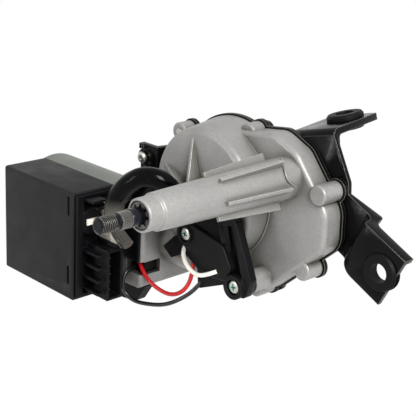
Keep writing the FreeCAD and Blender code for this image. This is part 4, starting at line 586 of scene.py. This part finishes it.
def pick(piece, kind, test):
    """In edit mode, select only the corners or faces that pass a test."""
    bpy.ops.object.mode_set(mode="EDIT")
    bpy.ops.mesh.select_mode(type=kind)
    bpy.ops.mesh.select_all(action="DESELECT")
    bpy.ops.object.mode_set(mode="OBJECT")
    for part in piece.data.polygons if kind == "FACE" else piece.data.vertices:
        part.select = test(part)
    bpy.ops.object.mode_set(mode="EDIT")


def cut_with(piece, cutter):
    """Take a cutter's form out of a piece, with the cutter's finish on the faces that it leaves."""
    select_only(piece)
    cut = piece.modifiers.new("cut", "BOOLEAN")
    cut.operation = "DIFFERENCE"
    cut.solver = "EXACT"
    cut.material_mode = "TRANSFER"
    cut.object = cutter
    bpy.ops.object.modifier_apply(modifier=cut.name)
    bpy.data.objects.remove(cutter)


def turned(name, centre, steps, sides):
    """A closed solid turned about a line along Y; each step is a place along Y and a radius."""
    clear_selection()
    place, radius = steps[0]
    bpy.ops.mesh.primitive_circle_add(vertices=sides, radius=radius, fill_type="NGON",
                                      location=(centre[0], place, centre[1]), rotation=FACING_Y)
    piece = new_piece(name)
    edit_all()
    for next_place, next_radius in steps[1:]:
        bpy.ops.mesh.extrude_region_move(TRANSFORM_OT_translate={"value": (0, next_place - place, 0)})
        share = next_radius / radius
        middle = (centre[0], next_place, centre[1])
        bpy.ops.transform.resize(value=(share, 1, share), center_override=middle)
        place, radius = next_place, next_radius
    close_up()
    return piece


def box_piece(name, low, high, rounding=0.0):
    """A cuboid between two corners, its edges rounded; all in millimetres."""
    clear_selection()
    low, high = Vector(metres(low)), Vector(metres(high))
    bpy.ops.mesh.primitive_cube_add(size=1, location=(low + high) / 2, scale=high - low)
    piece = new_piece(name)
    if rounding:
        round_all(rounding)
    return piece


def plate(name, outline, start, depth, rounding=0.0):
    """A plate of a depth along Y, from an outline of (x, z), in millimetres."""
    clear_selection()
    bpy.ops.mesh.primitive_circle_add(vertices=len(outline), radius=mm(5), fill_type="NGON",
                                      location=(0, mm(start), 0), rotation=FACING_Y)
    piece = new_piece(name)
    for corner, (x, z) in zip(piece.data.vertices, outline):
        corner.co = metres((x, start, z))
    edit_all()
    bpy.ops.mesh.extrude_region_move(TRANSFORM_OT_translate={"value": (0, mm(depth), 0)})
    close_up()
    if rounding:
        round_all(rounding)
    return piece


def round_line(name, points, radius, fineness):
    """A round line with closed ends; its radius is in metres, its points in millimetres."""
    line = bpy.data.curves.new(name, "CURVE")
    line.dimensions = "3D"
    spline = line.splines.new("NURBS")
    spline.points.add(len(points) - 1)
    for point, spot in zip(spline.points, points):
        point.co = metres(spot) + [1.0]
    spline.order_u = 3
    spline.use_endpoint_u = True
    spline.resolution_u = 10
    line.bevel_depth = radius
    line.bevel_resolution = fineness
    line.use_fill_caps = True
    return new_object(name, line)


def bead(name, points, radius):
    """A round bead along points in millimetres, as a closed mesh."""
    round_line(name, points, mm(radius), fineness=3)
    bpy.ops.object.convert(target="MESH")
    bpy.ops.object.mode_set(mode="EDIT")
    close_up(angle=45)
    return bpy.context.object


def softened(name, node, width, cutters=()):
    """A copy of a CAD node, its triangles merged into flat faces and its edges rounded."""
    piece = new_object(name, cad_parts[node].data.copy())
    bpy.ops.mesh.customdata_custom_splitnormals_clear()
    edit_all()
    bpy.ops.mesh.remove_doubles(threshold=mm(0.002))
    bpy.ops.mesh.dissolve_limited(angle_limit=math.radians(1))
    bpy.ops.object.mode_set(mode="OBJECT")
    for cutter in cutters:
        cut_with(piece, cutter)
    bevel_edges(piece, width, segments=2, angle=40)
    bpy.ops.object.shade_smooth_by_angle(angle=math.radians(45))
    return piece


class WIPER_OT_edges(bpy.types.Operator):
    """Round the edges of the folded bracket, the pressed cover and the mouldings"""
    bl_idname = "wiper.edges"
    bl_label = "Soft edges"

    def execute(self, context):
        for name, node, slot, width in (
                ("folded_bracket", "mounting_bracket", "black_steel", 0.7),
                ("pressed_gear_cover", "gear_cover", "black_steel", 0.5),
                ("moulded_module_cover", "module_cover", "black_plastic", 0.6),
                ("moulded_module_base", "module_base", "black_plastic", 0.25),
                ("moulded_switch_cover", "switch_cover", "black_plastic", 0.3)):
            cutters = (self.corner_cutter(),) if node == "mounting_bracket" else ()
            finished(softened(name, node, width, cutters), "housing", slot, node)
        return {"FINISHED"}

    def corner_cutter(self):
        """What is cut off the lower arm's inner corner to round it: a square less a quarter circle."""
        corner, radius, margin, steps = Vector((34.7, -39.4)), 8.0, 3, 8
        along, down = Vector((0.903, -0.430)), Vector((-0.430, -0.903))
        arm_start, arm_depth = 114, 10
        centre = corner + along * radius - down * radius
        outline = [corner - down * radius - along * margin, corner + down * margin - along * margin,
                   corner + down * margin + along * radius]
        for step in range(steps + 1):
            turn = math.radians(90 - step * 90 / steps)
            outline.append(centre + down * radius * math.sin(turn) - along * radius * math.cos(turn))
        cutter = plate("corner_cutter", [tuple(spot) for spot in outline], arm_start, arm_depth)
        return painted(cutter, "black electrocoat")


class WIPER_OT_elbow(bpy.types.Operator):
    """Add the elbow's parting bead, the web in its crook and the ribs of its outlet"""
    bl_idname = "wiper.elbow"
    bl_label = "Breather elbow"

    def execute(self, context):
        seam = bead("elbow_parting_bead", (
            (-46.6, 70.5, -4.4), (-51.5, 65.5, 0.2), (-61.0, 60.2, -1.6), (-70.6, 58.2, -8.0),
            (-77.6, 57.2, -18.4), (-80.3, 57.0, -27.6), (-78.9, 57.0, -35.0)), radius=0.45)
        web = plate("elbow_crook_web", (
            (-72.3, -23.3), (-71.2, -15.3), (-62.9, -9.0), (-55.7, -6.2), (-48.4, -7.0), (-51.9, -13.4),
            (-61.7, -19.8)), start=62.6, depth=3.6, rounding=0.8)
        ribs = []
        for step in (-1.9, 0, 1.9):
            aside, up = step * 0.45, step * 0.9
            ribs.append(bead("elbow_outlet_rib", (
                (-72.6 + aside, 54.0, -36.5 + up), (-71.0 + aside, 53.8, -39.6 + up),
                (-63.0 + aside, 53.8, -43.9 + up)), radius=0.55))
        # The parting bead is painted pale as a highlight along the elbow's outer edge
        painted(seam, "rubbed rubber edge")
        for piece in (web, *ribs):
            painted(piece, "glossy moulded rubber")
        for piece in (seam, web, joined("elbow_outlet_ribs", ribs)):
            finished(piece, "housing", "rubber")
        return {"FINISHED"}


class WIPER_OT_block(bpy.types.Operator):
    """Add a black plate for the shade on the block's front, the lead slot's seal and the flange's back"""
    bl_idname = "wiper.block"
    bl_label = "Motor block"

    def execute(self, context):
        # A black plate on the block's front, standing in for the shade that the module and elbow cast there
        rim = box_piece("block_front_shade_plate", (-91.0, 78.7, -65.3), (-78.4, 80.3, -46.0), rounding=0.5)
        finished(painted(rim, "glass filled polyamide"), "housing", "black_plastic")
        seal = box_piece("lead_slot_seal", (-89.8, 84.6, -73.3), (-79.4, 94.3, -65.7), rounding=0.6)
        finished(painted(seal, "moulded rubber"), "housing", "rubber")
        self.flange_back()
        return {"FINISHED"}

    def flange_back(self):
        """The segment of casting that closes the motor flange behind the block."""
        centre, radius, depth, block_back = (-102.3, 105, -57), 24.4, 9.4, 120.4
        clear_selection()
        bpy.ops.mesh.primitive_cylinder_add(vertices=96, radius=mm(radius), depth=mm(depth),
                                            location=metres(centre), rotation=(0, math.pi / 2, 0))
        web = new_piece("flange_back")
        # The disc goes as far as the block's back wall
        room = box_piece("room", (-110, 60, -100), (-90, block_back, -20))
        for piece in (web, room):
            painted(piece, "die cast aluminium")
        cut_with(web, room)
        bevel_edges(web, width=0.8, segments=3, angle=30)
        bpy.ops.object.shade_smooth_by_angle(angle=math.radians(35))
        finished(web, "housing", "casting")


class WIPER_OT_ridges(bpy.types.Operator):
    """Add the thin ridges that the die leaves on the casting"""
    bl_idname = "wiper.ridges"
    bl_label = "Casting ridges"

    def execute(self, context):
        tube_root = ((0.8, 104.0, 11.6), (4.0, 101.2, 10.9), (8.2, 98.3, 8.2), (10.1, 97.6, 5.7),
                     (11.1, 98.3, 3.2), (11.6, 101.1, 1.0), (11.5, 104.0, -0.6))
        wheel_x, wheel_z, drum_radius, face_y = -47.5, -19, 38.9, 108.8
        first_turn, turn_step, last_step = 6, 5.5, 11
        drum_root = []
        for step in range(last_step + 1):
            turn = math.radians(first_turn - step * turn_step)
            drum_root.append((wheel_x + drum_radius * math.cos(turn), face_y,
                              wheel_z + drum_radius * math.sin(turn)))
        for name, radius, points in (("tube_root_ridge", 0.6, tube_root),
                                     ("drum_root_ridge", 0.5, drum_root)):
            finished(painted(bead(name, points, radius), "die cast aluminium"), "housing", "casting")
        return {"FINISHED"}


class WIPER_OT_shaft(bpy.types.Operator):
    """Model the output shaft with its helical thread, run-out groove and splines"""
    bl_idname = "wiper.shaft"
    bl_label = "Output shaft"

    def execute(self, context):
        sizes = context.scene.wiper_shaft
        root = sizes.thread_radius - sizes.thread_depth
        half = sizes.spline_length / 2
        core = turned("shaft_core", (0, 0), self.profile(sizes, root, half), sides=64)
        painted(core, "phosphated steel", "ground steel neck")
        for face in core.data.polygons:
            face.material_index = int(face.center.y > half)
        thread = painted(self.ridge(sizes, root), "phosphated steel")
        splines = painted(self.splines(sizes, half), "phosphated steel")
        shaft = joined("splined_output_shaft", [core, thread, splines])
        finished(shaft, "shaft", "shaft_steel", "output_shaft")
        return {"FINISHED"}

    def profile(self, sizes, root, half):
        """Places along Y and radii of the core, from the tip to the inner end."""
        tip, thread_end = -sizes.tip, -sizes.thread_end
        valley = sizes.spline_radius - sizes.spline_depth
        journal_radius, seat_radius, end_radius = mm(5), mm(4.7), mm(4.6)
        neck_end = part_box("shaft_seal")[1][1] + mm(0.9)
        seat, seat_end = (corner[1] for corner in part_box("pinion"))
        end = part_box("output_shaft")[1][1]
        # The tip is rounded in two steps, and drawn in again where the thread starts
        rounded_tip = ((tip, root - mm(0.7)), (tip + mm(0.25), root - mm(0.35)),
                       (tip + mm(0.9), root + mm(0.25)), (tip + mm(1.0), root))
        groove = ((thread_end, root), (thread_end + mm(0.4), sizes.relief_radius),
                  (-half - mm(0.2), sizes.relief_radius))
        under_splines = ((-half + mm(0.2), valley), (half - mm(0.1), valley))
        neck = ((half, sizes.neck_radius - mm(0.25)), (half + mm(0.3), sizes.neck_radius),
                (neck_end, sizes.neck_radius))
        inner = ((neck_end, journal_radius), (seat, journal_radius), (seat, seat_radius),
                 (seat_end, seat_radius), (end, end_radius))
        return rounded_tip + groove + under_splines + neck + inner

    def ridge(self, sizes, root):
        """One helical ridge: a small trapezium carried round the shaft by a Screw modifier."""
        clear_selection()
        lead_in, steps = mm(0.5), 40
        start = -sizes.tip + lead_in
        bpy.ops.mesh.primitive_circle_add(vertices=4, radius=sizes.thread_pitch * 0.5, fill_type="NOTHING",
                                          location=(0, start, 0))
        piece = new_piece("thread_ridge")
        foot, crest = sizes.thread_pitch * 0.47, sizes.thread_pitch * 0.12
        sunk, top = root - mm(0.2), sizes.thread_radius
        corners = ((sunk, -foot), (sunk, foot), (top, crest), (top, -crest))
        for corner, (radius, along) in zip(piece.data.vertices, corners):
            corner.co = (radius, start + along, 0)
        screw = piece.modifiers.new("thread", "SCREW")
        screw.axis = "Y"
        screw.screw_offset = sizes.thread_pitch
        screw.iterations = int((sizes.tip - lead_in - sizes.thread_end) / sizes.thread_pitch)
        screw.steps = screw.render_steps = steps
        screw.use_merge_vertices = False
        bpy.ops.object.modifier_apply(modifier=screw.name)
        bpy.ops.object.mode_set(mode="EDIT")
        bpy.ops.mesh.select_all(action="DESELECT")
        bpy.ops.mesh.select_non_manifold()
        bpy.ops.mesh.fill_holes(sides=0)
        close_up(angle=40)
        return piece

    def splines(self, sizes, half):
        """A toothed collar: a circle with every other pair of corners drawn in, pulled along Y."""
        clear_selection()
        middle = (0, -half, 0)
        bpy.ops.mesh.primitive_circle_add(vertices=sizes.splines * 4, radius=sizes.spline_radius,
                                          fill_type="NGON", location=middle, rotation=FACING_Y)
        piece = new_piece("spline_collar")
        pick(piece, "VERT", lambda corner: corner.index % 4 in (2, 3))
        share = 1 - sizes.spline_depth / sizes.spline_radius
        bpy.ops.transform.resize(value=(share, 1, share), center_override=middle)
        bpy.ops.mesh.select_all(action="SELECT")
        lead_in = 0.92
        bpy.ops.transform.resize(value=(lead_in, 1, lead_in), center_override=middle)
        # The lead-in, the straight teeth and the chamfer behind them
        for step, share in ((mm(0.45), 1 / lead_in), (2 * half - mm(0.7), 1.0), (mm(0.25), 0.95)):
            bpy.ops.mesh.extrude_region_move(TRANSFORM_OT_translate={"value": (0, step, 0)})
            bpy.ops.transform.resize(value=(share, 1, share), center_override=(0, 0, 0))
        close_up(angle=20)
        return piece


class WIPER_OT_screws(bpy.types.Operator):
    """Model the screws of the switch cover and of the bracket's ear"""
    bl_idname = "wiper.screws"
    bl_label = "Cross-recess screws"

    def execute(self, context):
        sizes = context.scene.wiper_screws
        low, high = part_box("switch_screws")
        radius = sizes.head_radius
        upper = (low[0] + radius, high[2] - radius)
        model = self.screw("switch_screw", upper, low[1], radius, sizes.switch_shank, "chromate residue")
        step = (high[0] - radius - upper[0], sizes.lower_step, low[2] + radius - upper[1])
        # The two crosses don't stand alike
        turn = 34
        pair = joined("switch_cover_screws", [model, self.copied(model, upper, step, turn)])
        finished(pair, "housing", "zinc", "switch_screws")
        low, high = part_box("bracket_screw")
        radius = (high[0] - low[0]) / 2
        spot = ((low[0] + high[0]) / 2, (low[2] + high[2]) / 2)
        ear = self.screw("ear_screw", spot, low[1], radius, high[1] - low[1], "machined steel")
        finished(ear, "housing", "zinc", "bracket_screw")
        return {"FINISHED"}

    def screw(self, name, spot, start, radius, reach, recess):
        """Crowned head with a rolled edge, a shank and a cross recess in its own finish."""
        head_height, shank_radius, point = mm(2.0), mm(1.9), mm(0.6)
        # Millimetres behind the crown, and share of the head's radius
        crown = ((0.02, 0.45), (0.12, 0.72), (0.4, 0.9), (0.85, 0.985), (1.2, 1.0))
        steps = [(start + mm(depth), radius * share) for depth, share in crown]
        steps += [(start + head_height, radius), (start + head_height, shank_radius),
                  (start + reach - point, shank_radius), (start + reach, shank_radius * 0.6)]
        piece = painted(turned(name, spot, steps, sides=48), "zinc plated screw")
        first_turn = 0.35
        for turn in (first_turn, first_turn + math.pi / 2):
            cut_with(piece, self.recess_arm(spot, start, radius, turn, recess))
        bpy.ops.object.mode_set(mode="EDIT")
        close_up()
        return piece

    def recess_arm(self, spot, start, radius, turn, finish):
        """One arm of the cross, a bar that narrows towards its bottom."""
        middle, depth, narrowing = start + mm(0.5), mm(1.6), 0.45
        # The arm's length and width are shares of the head's radius
        size = (radius * 1.12, depth, radius * 0.27)
        clear_selection()
        bpy.ops.mesh.primitive_cube_add(size=1, location=(spot[0], middle, spot[1]), scale=size,
                                        rotation=(0, turn, 0))
        arm = new_piece("recess_arm")
        pick(arm, "FACE", lambda face: face.normal.y > 0.9)
        bpy.ops.transform.resize(value=(narrowing, 1, narrowing))
        bpy.ops.object.mode_set(mode="OBJECT")
        return painted(arm, finish)

    def copied(self, piece, spot, step, turn):
        """Another screw, turned in degrees about the first one's line and moved by a step."""
        select_only(piece)
        bpy.ops.object.duplicate()
        edit_all()
        bpy.ops.transform.rotate(value=math.radians(turn), orient_axis="Y",
                                 center_override=(spot[0], 0, spot[1]))
        bpy.ops.transform.translate(value=step)
        bpy.ops.object.mode_set(mode="OBJECT")
        return bpy.context.object


class WIPER_OT_leads(bpy.types.Operator):
    """Lay the red, black and white leads along their routes"""
    bl_idname = "wiper.leads"
    bl_label = "Leads"

    def execute(self, context):
        for name, finish, reach, points in LEADS:
            piece = painted(round_line(name + "_insulation", points, LEAD_DIAMETER / 2, fineness=5), finish)
            finished(piece, "housing", name, name)
        return {"FINISHED"}


class WIPER_OT_stage(bpy.types.Operator):
    """Add the floor, the lamps, the pale surroundings and the photograph's camera"""
    bl_idname = "wiper.stage"
    bl_label = "Stage"

    def execute(self, context):
        sizes = context.scene.wiper_stage
        self.floor(sizes)
        self.surroundings(context.scene, sizes)
        self.lamps(sizes)
        bpy.ops.object.camera_add(location=sizes.camera_place, rotation=sizes.camera_turn)
        camera = context.object
        camera.data.lens = sizes.lens
        camera.data.sensor_width = 36
        camera.data.clip_start = 0.01
        context.scene.camera = camera
        context.scene.view_settings.view_transform = "Standard"
        return {"FINISHED"}

    def seen(self, tree):
        """1 where the camera, metal or glass would show the background, which is white there."""
        rays = add_node(tree, "ShaderNodeLightPath")
        direct = add_node(tree, "ShaderNodeMath", operation="MAXIMUM",
                          links={0: rays.outputs["Is Camera Ray"], 1: rays.outputs["Is Glossy Ray"]})
        return add_node(tree, "ShaderNodeMath", operation="MAXIMUM",
                        links={0: direct.outputs[0], 1: rays.outputs["Is Transmission Ray"]}).outputs[0]

    def floor(self, sizes):
        """Matt paper just under the motor, which shows white and sends light back up."""
        width, gap = 6, mm(0.2)
        clear_selection()
        bpy.ops.mesh.primitive_plane_add(size=width, location=(0, 0, CAD_BOX[0][2] - gap))
        floor = bpy.context.object
        floor.name = "floor"
        material, tree, shader = new_material("matt studio paper")
        shader.inputs["Base Color"].default_value = linear(sizes.floor)
        shader.inputs["Roughness"].default_value = 0.9
        glow = add_node(tree, "ShaderNodeEmission", {"Color": WHITE, "Strength": 1.0})
        white = add_node(tree, "ShaderNodeMixShader", links={0: self.seen(tree), 1: shader.outputs["BSDF"],
                                                             2: glow.outputs["Emission"]})
        output = next(node for node in tree.nodes if node.type == "OUTPUT_MATERIAL")
        tree.links.new(white.outputs[0], output.inputs["Surface"])
        floor.data.materials.append(material)

    def surroundings(self, scene, sizes):
        """Soft light that grows from the floor to overhead; the camera and mirrors see white."""
        world = bpy.data.worlds.new("studio")
        scene.world = world
        world.use_nodes = True
        tree = world.node_tree
        tree.nodes.clear()
        sky = add_node(tree, "ShaderNodeTexCoord")
        height = add_node(tree, "ShaderNodeSeparateXYZ", links={0: sky.outputs["Generated"]})
        limits = {"From Min": -0.3, "From Max": 1.0, "To Min": sizes.sky_low, "To Max": sizes.sky_high}
        level = add_node(tree, "ShaderNodeMapRange", limits, {"Value": height.outputs["Z"]})
        soft = add_node(tree, "ShaderNodeBackground", {"Color": WHITE},
                        {"Strength": level.outputs["Result"]})
        pale = add_node(tree, "ShaderNodeBackground", {"Color": WHITE, "Strength": 1.0})
        both = add_node(tree, "ShaderNodeMixShader", links={0: self.seen(tree), 1: soft.outputs[0],
                                                            2: pale.outputs[0]})
        add_node(tree, "ShaderNodeOutputWorld", links={"Surface": both.outputs[0]})

    def lamps(self, sizes):
        """Two rectangular lamps aimed at the motor, with their places and sizes in metres."""
        aim = Vector((-0.05, 0.06, -0.02))
        for name, place, size, watts in (
                ("key lamp", (0.58, -0.2, 0.5), (0.3, 0.45), sizes.key_power),
                ("strip lamp", (-0.26, -0.52, 0.06), (0.03, 0.3), sizes.strip_power)):
            bpy.ops.object.light_add(type="AREA", location=place)
            lamp = bpy.context.object
            lamp.name = name
            lamp.data.shape = "RECTANGLE"
            lamp.data.size, lamp.data.size_y = size
            lamp.data.energy = watts
            lamp.rotation_euler = (aim - Vector(place)).to_track_quat("-Z", "Y").to_euler()


class WIPER_PT_panel(bpy.types.Panel):
    """The steps that dress the motor"""
    bl_idname = "WIPER_PT_panel"
    bl_label = "Wiper motor"
    bl_space_type = "VIEW_3D"
    bl_region_type = "UI"
    bl_category = "Wiper motor"

    def draw(self, context):
        for step in STEPS:
            self.layout.operator(step.bl_idname)


STEPS = (WIPER_OT_finishes, WIPER_OT_stage, WIPER_OT_leads, WIPER_OT_edges, WIPER_OT_elbow, WIPER_OT_block,
         WIPER_OT_ridges, WIPER_OT_shaft, WIPER_OT_screws)
GROUPS = (("wiper_shaft", ShaftSizes), ("wiper_screws", ScrewSizes), ("wiper_colours", FinishColours),
          ("wiper_stage", StageSizes))


def register():
    """Add the settings, the steps and the panel to Blender."""
    for name, group in GROUPS:
        bpy.utils.register_class(group)
        setattr(bpy.types.Scene, name, bpy.props.PointerProperty(type=group))
    for step in STEPS:
        bpy.utils.register_class(step)
    bpy.utils.register_class(WIPER_PT_panel)


def unregister():
    """Take them away again."""
    bpy.utils.unregister_class(WIPER_PT_panel)
    for step in reversed(STEPS):
        bpy.utils.unregister_class(step)
    for name, group in reversed(GROUPS):
        delattr(bpy.types.Scene, name)
        bpy.utils.unregister_class(group)


def main():
    """Run every step in order."""
    register()
    for step in STEPS:
        getattr(bpy.ops.wiper, step.bl_idname.split(".")[1])()


if __name__ == "__main__":
    main()
